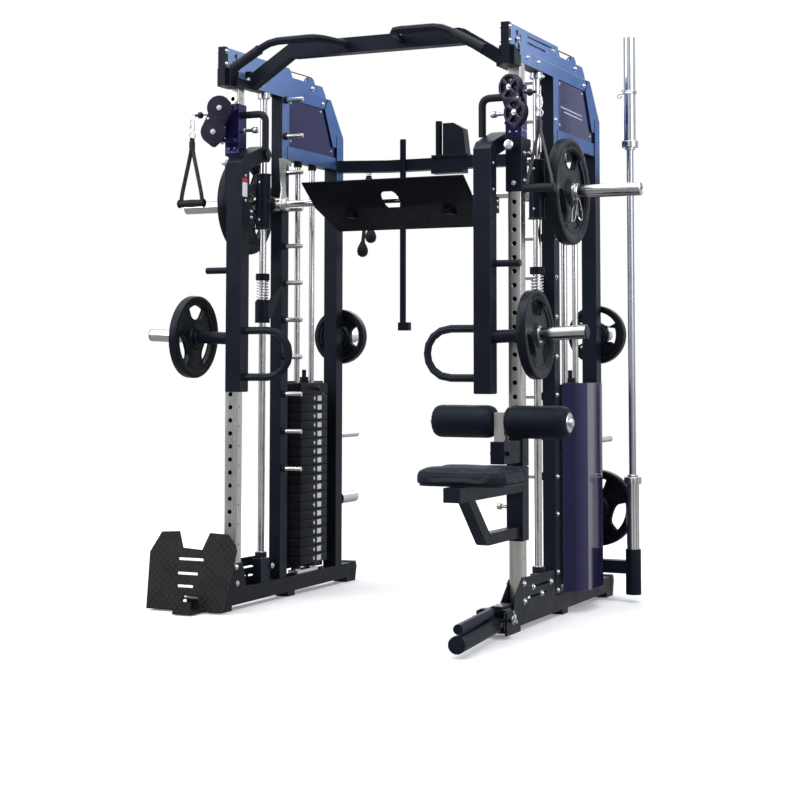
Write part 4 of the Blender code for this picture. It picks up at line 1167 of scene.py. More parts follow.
# ================================================================== upholstery
def simulate(ob, frames, pressure, cap):
    """Inflates a closed mesh as cloth, then limits how far each point has moved."""
    rest = [v.co.copy() for v in ob.data.vertices]
    cloth = ob.modifiers.new("cloth", "CLOTH")
    settings = cloth.settings
    settings.quality = 4
    settings.mass = 0.3
    settings.tension_stiffness = 18
    settings.compression_stiffness = 18
    settings.shear_stiffness = 8
    settings.bending_stiffness = 1.2
    settings.use_pressure = True
    settings.uniform_pressure_force = pressure
    settings.effector_weights.gravity = 0
    settings.vertex_group_mass = ob.vertex_groups[0].name
    cloth.point_cache.frame_start = 1
    cloth.point_cache.frame_end = frames
    for number in range(1, frames + 1):
        scene.frame_set(number)
    done = baked(ob)
    for v, start in zip(done.vertices, rest):
        move = v.co - start
        if move.length > cap:
            v.co = start + move * (cap / move.length)
    ob.modifiers.remove(cloth)
    old = ob.data
    ob.data = done
    bpy.data.meshes.remove(old)
    scene.frame_set(1)


def hold(ob, held):
    """Pins the vertices whose position passes held(co) against the simulation."""
    group = ob.vertex_groups.new(name="held")
    for v in ob.data.vertices:
        group.add([v.index], 1.0 if held(v.co) else 0.0, "REPLACE")


SEAT_X, SEAT_Y = (0.424, 0.746), (-0.571, -0.279)
SEAT_LOW, SEAT_TOP = 0.541, 0.588
SEAT_CX, SEAT_CY = (SEAT_X[0] + SEAT_X[1]) / 2, (SEAT_Y[0] + SEAT_Y[1]) / 2
SEAT_HX, SEAT_HY = (SEAT_X[1] - SEAT_X[0]) / 2, (SEAT_Y[1] - SEAT_Y[0]) / 2
SEAT_CORNER = 0.052
# (inset, z): the side of the pad from its underside up to its crown
SEAT_ROWS = (
    (0.030, SEAT_LOW), (0.010, SEAT_LOW), (0.003, SEAT_LOW + 0.003),
    (0.0012, SEAT_LOW + 0.009), (0.0, SEAT_LOW + 0.020), (0.0005, SEAT_LOW + 0.031),
    (0.0035, SEAT_TOP - 0.0075), (0.0095, SEAT_TOP - 0.0025), (0.020, SEAT_TOP - 0.0003),
    (0.045, SEAT_TOP + 0.0005))


def seat_outline(inset, steps):
    """The pad's rounded outline, drawn in by inset, with so many steps to a corner."""
    points = []
    ax, ay, r = SEAT_HX - inset, SEAT_HY - inset, SEAT_CORNER - inset
    for sx, sy, start in ((1, 1, 0), (-1, 1, pi / 2), (-1, -1, pi), (1, -1, 1.5 * pi)):
        for i in range(steps + 1):
            a = start + pi / 2 * i / steps
            points.append((SEAT_CX + sx * (ax - r) + r * cos(a),
                           SEAT_CY + sy * (ay - r) + r * sin(a)))
    return points


def sew_and_crease(mesh):
    """Sewn channel just under the top edge, with puckers, and soft creases on the top."""
    seam_z, reach = SEAT_TOP - 0.010, 0.006
    bm = bmesh.new()
    bm.from_mesh(mesh)
    for _ in range(2):
        bmesh.ops.smooth_vert(bm, verts=bm.verts, factor=0.4,
                              use_axis_x=True, use_axis_y=True, use_axis_z=True)
    for v in bm.verts:
        away = abs(v.co.z - seam_z)
        dx, dy = v.co.x - SEAT_CX, v.co.y - SEAT_CY
        if max(abs(dx) / SEAT_HX, abs(dy) / SEAT_HY) > 0.93 and away < reach:
            pull = 0.0016 * (1 - away / reach) * (0.75 + 0.25 * sin(46 * atan2(dy, dx)))
            v.co.x -= pull * dx / max(abs(dx), abs(dy), 1e-6)
            v.co.y -= pull * dy / max(abs(dx), abs(dy), 1e-6)
        if v.co.z > SEAT_TOP - 0.004:
            v.co.z += 0.0010 * noise.noise(Vector((v.co.x * 16, v.co.y * 16, 3.0)))
    bm.to_mesh(mesh)
    bm.free()


def seat_cushion():
    """Crowned pad; returns a tree of its surface for the piping to lie on."""
    pad = Shape()
    rows = [pad.row((x, y, z) for x, y in seat_outline(inset, 12)) for inset, z in SEAT_ROWS]
    pad.skin(rows)
    pad.face(rows[-1])
    pad.face(rows[0][::-1])
    ob = bpy.data.objects.new("seat_cushion_tmp", pad.mesh("seat_cushion"))
    scene.collection.objects.link(ob)
    remesh = ob.modifiers.new("remesh", "REMESH")
    remesh.mode = "VOXEL"
    remesh.voxel_size = 0.005
    even = baked(ob)
    ob.modifiers.clear()
    ob.data = even
    # the board under the pad holds the lower face still
    hold(ob, lambda co: co.z < SEAT_LOW + 0.006)
    simulate(ob, frames=20, pressure=4.0, cap=0.007)
    sew_and_crease(ob.data)
    smooth = ob.modifiers.new("sub", "SUBSURF")
    smooth.levels = smooth.render_levels = 1
    final = baked(ob)
    bpy.data.objects.remove(ob)
    surface = BVHTree.FromPolygons([v.co.copy() for v in final.vertices],
                                   [tuple(face.vertices) for face in final.polygons])
    final.transform(Matrix.Translation((0, -BACK, 0)))
    place("seat_cushion", final, ["vinyl"], "seat", "seat_pad", sharp=180)
    return surface


def lay_on(surface, inset, z, steps, lift, pitch=0.010):
    """Lays the seat's outline onto the side of the finished cushion."""
    points = [Vector((x, y, z)) for x, y in seat_outline(inset, steps)]
    spaced = []
    for start, end in zip(points, points[1:] + points[:1]):
        length = (end - start).length
        if length > 1e-6:
            count = max(1, round(length / pitch))
            spaced += [start.lerp(end, i / count) for i in range(count)]
    flat_x, flat_y = SEAT_HX - SEAT_CORNER, SEAT_HY - SEAT_CORNER
    laid = []
    for point in spaced:
        core = Vector((min(max(point.x, SEAT_CX - flat_x), SEAT_CX + flat_x),
                       min(max(point.y, SEAT_CY - flat_y), SEAT_CY + flat_y), point.z))
        inward = (core - point).normalized()
        hit = surface.ray_cast(point - inward * 0.03, inward)[0]
        laid.append((hit if hit is not None else point) - inward * lift)
    return laid


def seat_piping(part, surface):
    """Piping in the upper and lower seams, and the stitches below the upper one."""
    for inset, z in ((-0.0042, SEAT_TOP - 0.0095), (-0.0030, SEAT_LOW + 0.0035)):
        part.tube(lay_on(surface, inset, z, 14, lift=0.0001), 0.0014, 8, True)
    part.use("seam_thread")
    pitch = 0.0058
    line = lay_on(surface, -0.0052, SEAT_TOP - 0.0155, 30, lift=0.0002, pitch=pitch)
    for start, end in zip(line, line[1:] + line[:1]):
        count = max(1, round((end - start).length / pitch))
        for i in range(count):
            a = start.lerp(end, (i + 0.15) / count)
            b = start.lerp(end, (i + 0.80) / count)
            if (b - a).length > 0.001:
                part.tube([a, a.lerp(b, 0.5), b], 0.0005, 6)


def seat_board(part):
    part.plate("z", seat_outline(0.010, 14), 0.5345, SEAT_LOW, (), 0.0012, 2)
    part.use("zinc_bolt")
    for x in (0.470, 0.700):
        for y in (-0.520, -0.330):
            part.screw((x, y, 0.5346), DOWN, 0.006)


seat_surface = seat_cushion()
build(lambda part: seat_piping(part, seat_surface), "seat_piping", ["vinyl", "seam_thread"],
      "seat", sharp=60)
build(seat_board, "seat_board", ["black_nylon", "zinc_bolt"], "seat")

ROLLER_Y, ROLLER_Z, ROLLER_R = -0.160, 0.737, 0.0575
# (radius, depth in from the end): rounded end of the roller
ROLLER_END = ((0.0200, 0.0035), (0.028, 0.0015), (0.036, 0.0008), (0.043, 0.0020),
              (0.0490, 0.0055), (0.0535, 0.011), (0.0562, 0.019))
# (radius, height) from the end of the roller
OUTER_CAP = [(0, -0.003), (0.0320, -0.003), (0.0345, 0.0005), (0.0345, 0.0024),
             (0.0325, 0.0044), (0.0170, 0.0054), (0.0148, 0.0064), (0.0144, 0.0134),
             (0.0132, 0.0148), (0, 0.0152)]
INNER_RING = [(0.0124, -0.003), (0.0235, -0.003), (0.0245, 0.0003), (0.0235, 0.0018),
              (0.0135, 0.0022), (0.0124, 0.0014)]


def pleat(mesh, middle, half):
    """Radial pleats on both ends that die out over the shoulder, and long soft wrinkles."""
    for v in mesh.vertices:
        h = v.co.x - middle
        dy, dz = v.co.y - ROLLER_Y, v.co.z - ROLLER_Z
        reach = hypot(dy, dz)
        if reach < 1e-6:
            continue
        a = atan2(dz, dy)
        near_end = max(0.0, 1 - (half - abs(h)) / 0.026)
        fade = min(1.0, near_end) * min(1.0, max(0.0, (reach - 0.021) / 0.010))
        shift = 1 if h > 0 else 2.3
        wave = sin(24 * a + 1.7 * sin(3 * a + shift)) + 0.4 * sin(41 * a + 2.0)
        if reach < 0.052:
            v.co.x += copysign(0.0013 * fade * wave, h)
        swell = 1
        if reach > 0.030:
            wrinkle = noise.noise(Vector((h * 14, cos(a) * 2, sin(a) * 2)))
            swell += 0.010 * fade * wave + 0.006 * wrinkle
        v.co.y = ROLLER_Y + dy * swell
        v.co.z = ROLLER_Z + dz * swell


def knee_roller(name, x0, x1, body, replaces, cap_end):
    """Foam roller in a gathered cover; cap_end is the sign of the end with the closed cap."""
    middle, half = (x0 + x1) / 2, (x1 - x0) / 2
    rows = [(radius, -half + depth) for radius, depth in ROLLER_END]
    barrel = [(ROLLER_R, (-1 + 2 * i / 26) * (half - 0.029)) for i in range(27)]
    foam = Shape()
    foam.lathe((middle, ROLLER_Y, ROLLER_Z), OUT,
               rows + barrel + [(radius, -h) for radius, h in reversed(rows)], 96)
    ob = bpy.data.objects.new("roller_tmp", foam.mesh("roller"))
    scene.collection.objects.link(ob)
    hold(ob, lambda co: hypot(co.y - ROLLER_Y, co.z - ROLLER_Z) < 0.040)
    simulate(ob, frames=14, pressure=3.0, cap=0.0022)
    final = ob.data.copy()
    bpy.data.objects.remove(ob)
    pleat(final, middle, half)
    final.transform(Matrix.Translation((0, -BACK, 0)))
    place(name, final, ["roller_wrap"], body, replaces, sharp=180)

    def caps(part):
        for way in (-1, 1):
            at = (middle + way * (half - 0.0005), ROLLER_Y, ROLLER_Z)
            if way == cap_end:
                part.use("turned_steel")
                part.lathe(at, (way, 0, 0), OUTER_CAP, 56)
            else:
                part.use("black_nylon")
                part.lathe(at, (way, 0, 0), INNER_RING, 48, True)
    build(caps, name + "_caps", ["roller_wrap", "black_nylon", "turned_steel"], body)


knee_roller("inner_wrapped_roller", 0.3350, 0.5625, "inner_roller", "inner_knee_roller", -1)
knee_roller("outer_wrapped_roller", 0.6075, 0.8350, "outer_roller", "outer_knee_roller", 1)


# ================================================================== fasteners and small fittings
# (y, z) of bolts; the names say where the heads sit
BASE_OUTER = ((-0.020, 0.163), (0.074, 0.141), (0.264, 0.139), (-0.013, 0.100), (0.165, 0.108))
BASE_INNER = ((-0.020, 0.163), (0.264, 0.139), (-0.013, 0.100))
SECOND_POST_Z = (0.097, 0.164, 0.379, 0.518, 0.668, 0.824, 0.968, 1.118, 1.268, 1.418, 1.568,
                 1.718, 1.868)
TOP_BEAM = ((0.055, 2.0575), (0.170, 2.0575), (0.700, 2.050))
GUSSET = ((0.683, 2.014), (0.411, 1.855), (0.784, 1.855), (0.411, 2.014))
TOP_AXLES = ((-0.0200, 2.114), (0.620, 2.106))
BRACKET_NOSE = ((-0.1030, 2.146), (-0.1030, 2.096))


def frame_bolts(part):
    for y, z in BASE_OUTER:
        part.bolt((0.6145, y, z), OUT, 0.0078, 0.0060)
    for z in SECOND_POST_Z:
        part.bolt((0.6100, 0.357, z), OUT, 0.0068, 0.0050)
    for y, z in TOP_BEAM:
        part.bolt((0.6100, y, z), OUT, 0.0074, 0.0058)
        part.bolt((0.5600, y, z), IN, 0.0070, 0.0050)
    for y, z in GUSSET:
        part.screw((0.6070, y, z), OUT, 0.0058)
        part.screw((0.5630, y, z), IN, 0.0058)
    # both cheeks of the top brackets
    for places, radius, height in ((TOP_AXLES, 0.0078, 0.0060), (BRACKET_NOSE, 0.0066, 0.0050)):
        for y, z in places:
            part.bolt((0.6000, y, z), OUT, radius, height)
            part.bolt((0.5700, y, z), IN, radius, height)
    for y, z in BASE_INNER:
        part.bolt((0.5555, y, z), IN, 0.0074, 0.0055)
    for z in (1.755, 1.900):
        part.bolt((POST_X, 0.893, z), AFT, 0.0074, 0.0055)
    # domed buttons on the ends of the catch pegs
    for z in PEG_HEIGHTS:
        part.lathe((0.4740, 0.350, z), IN, [(0, -0.0003), (0.0088, -0.0003), (0.0080, 0.0014),
                                            (0, 0.0024)], 24)


def catch_pegs(part):
    """Bright pegs for the bar hooks, each with a dark root."""
    for z in PEG_HEIGHTS:
        part.use("nickel")
        part.sleeve((0, 0.350, z), OUT, 0.0091, 0.0096, 0.4745, 0.5440, 0.0002, 32)
        part.use("coat")
        part.sleeve((0, 0.350, z), OUT, 0.0092, 0.0150, 0.5440, 0.5560, 0.0010, 32)


def storage_pegs(part):
    """Bright sleeves, end caps and stop rings of the rear storage pegs."""
    for z in STORAGE_HEIGHTS:
        part.use("chrome")
        part.sleeve((POST_X, 0, z), AFT, 0.0246, 0.0251, 0.9000, 1.0560, 0.0002)
        part.use("black_nylon")
        part.lathe((POST_X, 1.0560, z), AFT, [(0, -0.002), (0.0248, -0.002), (0.0254, 0.001),
                                              (0.0240, 0.0045), (0, 0.0055)])
        part.sleeve((POST_X, 0, z), AFT, 0.0248, 0.0330, 0.8935, 0.8995, 0.0012)
    # thin peg between them
    part.use("chrome")
    part.sleeve((POST_X, 0, 0.632), AFT, 0.0116, 0.0119, 0.8900, 1.0870, 0.0002, 32)
    part.use("black_nylon")
    part.lathe((POST_X, 1.0870, 0.632), AFT, [(0, -0.002), (0.0117, -0.002), (0.0120, 0.0006),
                                              (0.0105, 0.0028), (0, 0.0030)], 28)


def rod_fittings(part):
    """Clamp, collar and rubber foot of the guide rod, and both ends of the stack rods."""
    part.use("grip_rubber")
    part.sleeve(GUIDE, UP, 0.0143, 0.0235, 0.1745, 0.1965, 0.0012)
    part.use("zinc_bolt")
    part.sleeve(GUIDE, UP, 0.0143, 0.0262, 2.0068, 2.0205, 0.0012)
    part.sleeve(GUIDE, UP, 0.0143, 0.0200, 2.0032, 2.0068, 0.0010)
    part.box((0.5920, 0.2130, 2.0080), (0.6120, 0.2270, 2.0190), 0.001, 1)
    part.bolt((0.6120, GUIDE[1], 2.0135), OUT, 0.0046, 0.0036, washer=False)
    part.use("grip_rubber")
    for y in (0.520, 0.650):
        part.sleeve((POST_X, y, 0), UP, 0.0117, 0.0205, 0.0990, 0.1180, 0.0010, 32)
        part.sleeve((POST_X, y, 0), UP, 0.0117, 0.0175, 1.7600, 1.7785, 0.0010, 32)


both(frame_bolts, "frame_bolts", ["zinc_bolt"], "frame")
both(catch_pegs, "catch_pegs", ["nickel", "coat"], "frame")
both(storage_pegs, "storage_pegs", ["chrome", "black_nylon"], "frame")
both(rod_fittings, "rod_fittings", ["zinc_bolt", "grip_rubber"], "frame")


# ================================================================== guided bar
def slider_parts(part):
    """Bearing ends and set screws of the guided bar's slider."""
    for z in (1.4775, 1.6945):
        part.sleeve(GUIDE, UP, 0.0146, 0.0318, z, z + 0.0070, 0.0012, 44)
    part.use("zinc_bolt")
    for z in (1.515, 1.665):
        part.screw((GUIDE[0], 0.1905, z), FORE, 0.0055)
    for z in (1.560, 1.602):
        part.screw((0.5545, 0.262, z), IN, 0.0045)


def bar_parts(part):
    """Sleeve cap, collars and end socket of the guided bar."""
    part.lathe(SMITH_BAR, OUT, [(0, 0.9690), (0.0180, 0.9690), (0.0180, 0.9702),
                                (0.0120, 0.9706), (0, 0.9706)])
    part.sleeve(SMITH_BAR, OUT, 0.0185, 0.0246, 0.9660, 0.9708, 0.0012, 48)
    part.use("chrome")
    part.sleeve(SMITH_BAR, OUT, 0.0250, 0.0345, 0.6175, 0.6415, 0.0022, 48)
    part.sleeve(SMITH_BAR, OUT, 0.0142, 0.0205, 0.5440, 0.5545, 0.0012)
    part.use("black_oxide")
    part.lathe((0.9706, *SMITH_BAR[1:]), OUT, [(0, -0.0006), (0.0060, -0.0006),
                                               (0.0060, 0.0008), (0, 0.0008)], 6)


def hook_parts(part):
    """Hub collars of the bar hook, and the screws round the outer one."""
    for start, end in ((0.4990, 0.5045), (0.5360, 0.5455)):
        part.sleeve(SMITH_BAR, OUT, 0.0145, 0.0268, start, end, 0.0012, 44)
    part.use("black_oxide")
    for angle in (0.6, 2.7, 4.8):
        ray = Vector((0, cos(angle), sin(angle)))
        part.screw(Vector((0.5300, *SMITH_BAR[1:])) + ray * 0.0262, ray, 0.0042)


both(slider_parts, "slider_parts", ["black_nylon", "zinc_bolt"], "bar_carriage")
both(bar_parts, "bar_parts", ["turned_steel", "chrome", "black_oxide"], "guided_bar")
both(hook_parts, "hook_parts", ["zinc_bolt", "black_oxide"], "guided_bar")


def wire_clip(part, at, axis, wire, spread, turn, bore=0.0252):
    """Spring clip: turns of wire round the sleeve and two looped handles."""
    at = Vector(at)
    along, side, up = basis(axis)
    side, up = side * cos(turn) + up * sin(turn), up * cos(turn) - side * sin(turn)
    turns, per_turn, lead = 2.6, 26, 0.0048
    radius = bore + wire
    coil = []
    for i in range(int(turns * per_turn) + 1):
        a = 2 * pi * i / per_turn
        coil.append(at + (side * cos(a) + up * sin(a)) * radius + along * (lead * i / per_turn))

    def handle(root, ahead, outward):
        edge = outward * 0.016
        return [root + ahead * 0.018, root + ahead * 0.042 * spread - edge * 0.1,
                root + ahead * 0.047 * spread + edge * 0.7,
                root + ahead * 0.030 * spread + edge * 0.9,
                root + ahead * 0.012 * spread + edge * 0.6]
    last = 2 * pi * turns
    start = handle(coil[0], up * -1.0, -along)[::-1]
    end = handle(coil[-1], side * -sin(last) + up * cos(last), along)
    part.tube(bend(start, 0.009, 5) + coil + bend(end, 0.009, 5), wire, 8)


build(lambda part: wire_clip(part, (0.7165, *SMITH_BAR[1:]), OUT, wire=0.0024, spread=2.4,
                             turn=pi - 0.31),
      "right_bar_clip", ["chrome"], "right_bar_plate")
build(lambda part: wire_clip(part, (*LONG_BAR[:2], 2.030), UP, wire=0.0022, spread=1.0,
                             turn=0.9),
      "long_bar_clip", ["chrome"], "long_bar")


def long_bar_parts(part):
    """Collars, shaft rings and the ring at the top end of the long bar."""
    for low, high in ((0.466, 0.492), (1.812, 1.838)):
        part.sleeve(LONG_BAR, UP, 0.0252, 0.0345, low - 0.0004, high + 0.0004, 0.0030, 48)
    for z in (0.4930, 1.8030):
        part.sleeve(LONG_BAR, UP, 0.0141, 0.0215, z, z + 0.0080, 0.0015)
    part.use("black_oxide")
    part.lathe(LONG_BAR, UP, [(0.0150, 2.2592), (0.0246, 2.2592), (0.0246, 2.2575),
                              (0.0150, 2.2575)], 48, True)


build(long_bar_parts, "long_bar_parts", ["chrome", "black_oxide", "turned_steel"], "long_bar")


# ================================================================== cable carriages and sleeves
# (radius, distance towards -X): waisted knob on a neck
PULL_KNOB = [(0, -0.5540), (0.0098, -0.5540), (0.0098, -0.5440), (0.0066, -0.5425),
             (0.0062, -0.5230), (0.0072, -0.5120), (0.0118, -0.5055), (0.0130, -0.5000),
             (0.0130, -0.4920), (0.0115, -0.4885), (0.0060, -0.4870), (0, -0.4868)]
J_HANDLE = ((0.5550, 0, 1.908), (0.478, 0, 1.908), (0.462, 0, 1.903), (0.4525, 0, 1.888),
            (0.4525, 0, 1.766))


def cable_carriage_parts(part):
    """Pull knob, liner screws, hinge bolts and the grip of the J handle."""
    part.lathe((0, 0, 1.847), IN, PULL_KNOB, 36)
    for y, z in ((-0.018, 1.780), (0.018, 1.780), (-0.018, 1.928), (0.018, 1.928)):
        part.screw((0.6155, y, z), OUT, 0.0045)
    for x, z in ((0.572, 1.776), (0.598, 1.776), (0.572, 1.930), (0.598, 1.930)):
        part.screw((x, -0.0305, z), FORE, 0.0045)
    for z, way in ((1.8120, DOWN), (1.9420, UP), (1.7995, DOWN)):
        part.bolt((*CARRIAGE_HINGE[:2], z), way, 0.0070, 0.0050)
    part.use("grip_rubber")
    part.tube(bend(J_HANDLE, 0.010, 4), 0.0139, 28)
    part.lathe((0.4525, 0, 1.768), DOWN, [(0, -0.002), (0.0140, -0.002), (0.0140, 0.0005),
                                          (0.0120, 0.0028), (0, 0.0030)], 28)


both(cable_carriage_parts, "cable_carriage_parts", ["zinc_bolt", "grip_rubber"],
     "{side}_cable_carriage")


def liner(name, low, high, body, side=None):
    """Nylon liner that shows at both ends of a sleeve on the upright."""
    def make(part):
        inner = rectangle(0.5596, 0.6104, -0.0254, 0.0254)
        outer = round_flat(rectangle(0.5560, 0.6140, -0.0290, 0.0290), 0.004, 3)
        height = 0.0035
        for z in (low, high - height):
            part.plate("z", outer, z, z + height, [inner], 0.0005, 1)
    build(make, name, ["black_nylon"], body, side=side)


LEVER_MOUNT_BODY = {"right": "frame", "left": "left_lever_mount"}
for side in SIDES:
    liner("cable_carriage_liner", 1.7568, 1.9506, "{side}_cable_carriage", side)
    liner("lever_mount_liner", 1.5590, 1.7566, LEVER_MOUNT_BODY[side], side)
liner("seat_sleeve_liner", 0.3110, 0.5740, "seat")
liner("roller_sleeve_liner", 0.5750, 0.6830, "frame")


# ================================================================== lever arms
def lever_parts(part):
    """Horn sleeve, stop ring, caps, side screws and hole marks of a lever arm."""
    part.sleeve(HORN_START, HORN_RUN, 0.0232, 0.0240, 0.1650, 0.3460, 0.0002, 48)
    part.use("black_nylon")
    part.sleeve(HORN_START, HORN_RUN, 0.0235, 0.0310, 0.1340, 0.1405, 0.0016, 48)
    part.lathe(HORN_START, HORN_RUN, [(0, 0.3460), (0.0240, 0.3460), (0.0240, 0.3490),
                                      (0.0222, 0.3512), (0, 0.3518)], 48)
    # cap of the small peg above the horn
    part.lathe((0, LEVER_Y, 1.295), OUT, [(0, 0.6395), (0.0126, 0.6395), (0.0126, 0.6410),
                                          (0.0110, 0.6425), (0, 0.6428)], 30)
    part.use("zinc_bolt")
    for z in (1.655, 1.560):
        part.screw((0.5400, LEVER_Y, z), OUT, 0.0060)
        part.screw((0.4740, LEVER_Y, z), IN, 0.0060)
    for z in (1.500, 1.522):
        part.bolt((0.5360, -0.062, z), OUT, 0.0052, 0.0038)
        part.bolt((0.4780, -0.062, z), IN, 0.0052, 0.0038)
    # painted shade: dark discs for the small holes down both sides of the tube
    part.use("bore_shade")
    for z in (1.400, 1.200, 0.965, 0.862):
        for x, way in ((0.5401, OUT), (0.4739, IN)):
            part.lathe((x, LEVER_Y, z), way, [(0, -0.0004), (0.0042, -0.0004),
                                              (0.0042, 0.0001), (0, 0.0001)], 20)
    # insert in the open lower end of the tube
    part.use("black_nylon")
    insert = round_flat(rectangle(0.4755, 0.5385, -0.1425, -0.0855), 0.004, 3)
    part.plate("z", insert, 0.8322, 0.8345)


def lever_mount_pins(part):
    """Inner head of the pivot pin, the knob in front, and the clamp bolts."""
    part.use("black_nylon")
    part.lathe((0.4700, 0.050, 1.755), IN, [
        (0, -0.001), (0.0205, -0.001), (0.0212, 0.001), (0.0212, 0.0045), (0.0185, 0.0070),
        (0.0090, 0.0080), (0, 0.0082)])
    part.use("zinc_bolt")
    part.lathe((POST_X, -0.0740, 1.722), FORE, [
        (0, -0.002), (0.0165, -0.002), (0.0185, 0.001), (0.0185, 0.010), (0.0150, 0.0135),
        (0.0060, 0.0150), (0, 0.0152)])
    part.slot = 1        # the bolts have a zinc slot of their own
    part.bolt((0.6155, 0.0, 1.600), OUT, 0.0062, 0.0045)
    part.bolt((0.6155, 0.0, 1.700), OUT, 0.0062, 0.0045)
    part.bolt((POST_X, -0.0305, 1.590), FORE, 0.0062, 0.0045)


both(lever_parts, "lever_parts", ["chrome", "black_nylon", "grip_rubber", "zinc_bolt",
                                  "bore_shade"], "{side}_lever")
for side in SIDES:
    build(lever_mount_pins, "lever_mount_pins", ["zinc_bolt", "zinc_bolt", "black_nylon"],
          LEVER_MOUNT_BODY[side], side=side)


# ================================================================== top of the frame
BRACKET_AXLE = (-0.0200, 2.114)      # y, z of the front wheel between the cheeks
TOP_CABLE = ((POST_X, -0.0200, 2.1466), (POST_X, 0.300, 2.1510), (POST_X, 0.615, 2.1572),
             (POST_X, 0.640, 2.1520), (POST_X, 0.6560, 2.1340), (POST_X, 0.6602, 2.1120),
             (POST_X, 0.6602, 2.0830))


def bracket_wheel_rims(part):
    """Rims of the wheels between the cheeks, the cable over them, and dark cut-outs."""
    for y, z, radius in ((*BRACKET_AXLE, 0.0300), (0.620, 2.117, 0.0375)):
        for start, end in ((0.5768, 0.5808), (0.5892, 0.5932)):
            part.sleeve((0, y, z), OUT, radius - 0.0008, radius + 0.0018, start, end, 0.0006, 48)
    part.use("cable_jacket")
    part.tube(bend(TOP_CABLE, 0.012, 5), 0.0026, 12)
    # painted shade: dark plates for the cut-outs round the front axle, on both cheeks
    part.use("bore_shade")
    for x in (0.6001, 0.5699):
        for quarter in range(4):
            middle = pi / 2 * quarter + 0.35
            points = arc(BRACKET_AXLE, 0.0335, fan(middle - 0.42, middle + 0.42, 5))
            points += arc(BRACKET_AXLE, 0.0105, (middle + 0.34, middle - 0.34))
            part.plate("x", round_flat(points, 0.003, 2), x - 0.0002, x + 0.0002, (), 0.00008)


def beam_edge_highlight(part):
    """Bright rounded edge along the outer top of the beam."""
    part.tube([(0.6088, y, 2.0766) for y in (-0.020, 0.350, 0.745)], 0.0016, 10)


def pull_up_grips(part):
    """Rubber grips on the slanting ends of the round bar, with a ring at either end."""
    low, high = Vector((0.5185, -0.147, 2.0645)), Vector((0.398, -0.150, 2.1305))
    part.tube([low, low.lerp(high, 0.42), low.lerp(high, 0.58), high], 0.0186, 30)
    for share in (0.02, 0.985):
        part.sleeve(low.lerp(high, share), high - low, 0.0160, 0.0200, -0.003, 0.003, 0.001, 32)


def pull_up_end_bolts(part):
    for x in (0.547, -0.547):
        part.bolt((x, 0.0260, 2.050), FORE, 0.0072, 0.0055)


def panel_stripes(part):
    """Two pale stripes on the outer face of the right gusset panel."""
    half = 0.0022
    for y0, z0, y1, z1 in ((0.425, 1.9290, 0.685, 1.9250), (0.466, 1.9135, 0.685, 1.9100)):
        stripe = [(y0, z0 - half), (y1, z1 - half), (y1, z1 + half), (y0, z0 + half)]
        part.plate("x", stripe, 0.6070, 0.6074, (), 0.0001)


def left_lever_label(part):
    """Plain label with a red band, on the outer face of the left lever's tube."""
    for finish, low, high in (("pale_label", 1.575, 1.629), ("red_band", 1.6292, 1.647)):
        part.use(finish)
        part.box((-0.4741, -0.1385, low), (-0.4735, -0.1015, high), 0.0002, 1)


left_lever_label.__doc__ = "Plain label with a red band, on the inner face of the left lever."

both(bracket_wheel_rims, "bracket_wheel_rims", ["black_nylon", "cable_jacket", "bore_shade"],
     "frame")
both(beam_edge_highlight, "beam_edge_highlight", ["coat_blue_edge"], "frame")
both(pull_up_grips, "pull_up_grips", ["grip_rubber"], "frame")
build(pull_up_end_bolts, "pull_up_end_bolts", ["zinc_bolt"], "frame")
build(panel_stripes, "panel_stripes", ["pale_stripe"], "frame")
build(left_lever_label, "left_lever_label", ["pale_label", "red_band"], "left_lever")


# ================================================================== rope and landmine fittings
# (radius, height downwards)
ROPE_BALL = [(0, -0.020), (0.0100, -0.020), (0.0120, -0.012), (0.0180, -0.002),
             (0.0235, 0.012), (0.0245, 0.024), (0.0205, 0.038), (0.0100, 0.046), (0, 0.048)]


def rear_rope(part):
    """Carabiner on the rear crossmember with a double rope and its two ball ends."""
    x, y = -0.462, 0.953
    loop = [(x, y, 1.823), (x - 0.011, y, 1.800), (x - 0.009, y, 1.770),
            (x + 0.009, y, 1.770), (x + 0.011, y, 1.800)]
    part.tube(loop_bend(loop, 0.008, 5), 0.0030, 12, True)
    part.sleeve((x + 0.0105, y, 0), UP, 0.0032, 0.0045, 1.784, 1.802, 0.0006, 20)
    for top_x, end_x, end_z in ((x + 0.004, -0.452, 1.515), (x - 0.004, -0.492, 1.455)):
        part.use("rope")
        path = [(top_x, y, 1.764), (0.5 * (top_x + end_x) + 0.004, y + 0.004, 1.640),
                (end_x, y, end_z)]
        part.tube(bend(path, 0.08, 8), 0.0085)
        part.use("grip_rubber")
        part.lathe((end_x, y, end_z), DOWN, ROPE_BALL, 36)
    part.use("rope")
    part.sleeve((x, y, 0), UP, 0.0085, 0.0150, 1.735, 1.757, 0.004, 28)


def landmine_ring_pin(part):
    """Ring pin through the landmine's tilt bolt, tied on with a short chain."""
    pin = Vector((0.6555, -0.235, 0.062))
    part.rod(pin, UP, 0.0021, -0.013, 0.015, 0.0004, 16)
    part.tube([pin + Vector((0.0, 0.012 * sin(a), 0.0045 + 0.012 * cos(a)))
               for a in (2 * pi * i / 26 for i in range(26))], 0.0015, 10, True)
    start = pin + Vector((0.003, -0.002, 0.016))
    end = Vector((0.6455, -0.205, 0.094))
    sag = Vector((0.010, 0, -0.030))

    def hang(share):
        return start.lerp(end, share) + sag * sin(pi * share)
    links = 9
    for i in range(links):
        share = (i + 0.5) / links
        centre = hang(share)
        along, side, up = basis(hang(share + 0.02) - centre)
        across = side if i % 2 else up
        part.tube([centre + along * 0.0052 * cos(a) + across * 0.0030 * sin(a)
                   for a in (2 * pi * j / 16 for j in range(16))], 0.0009, 7, True)


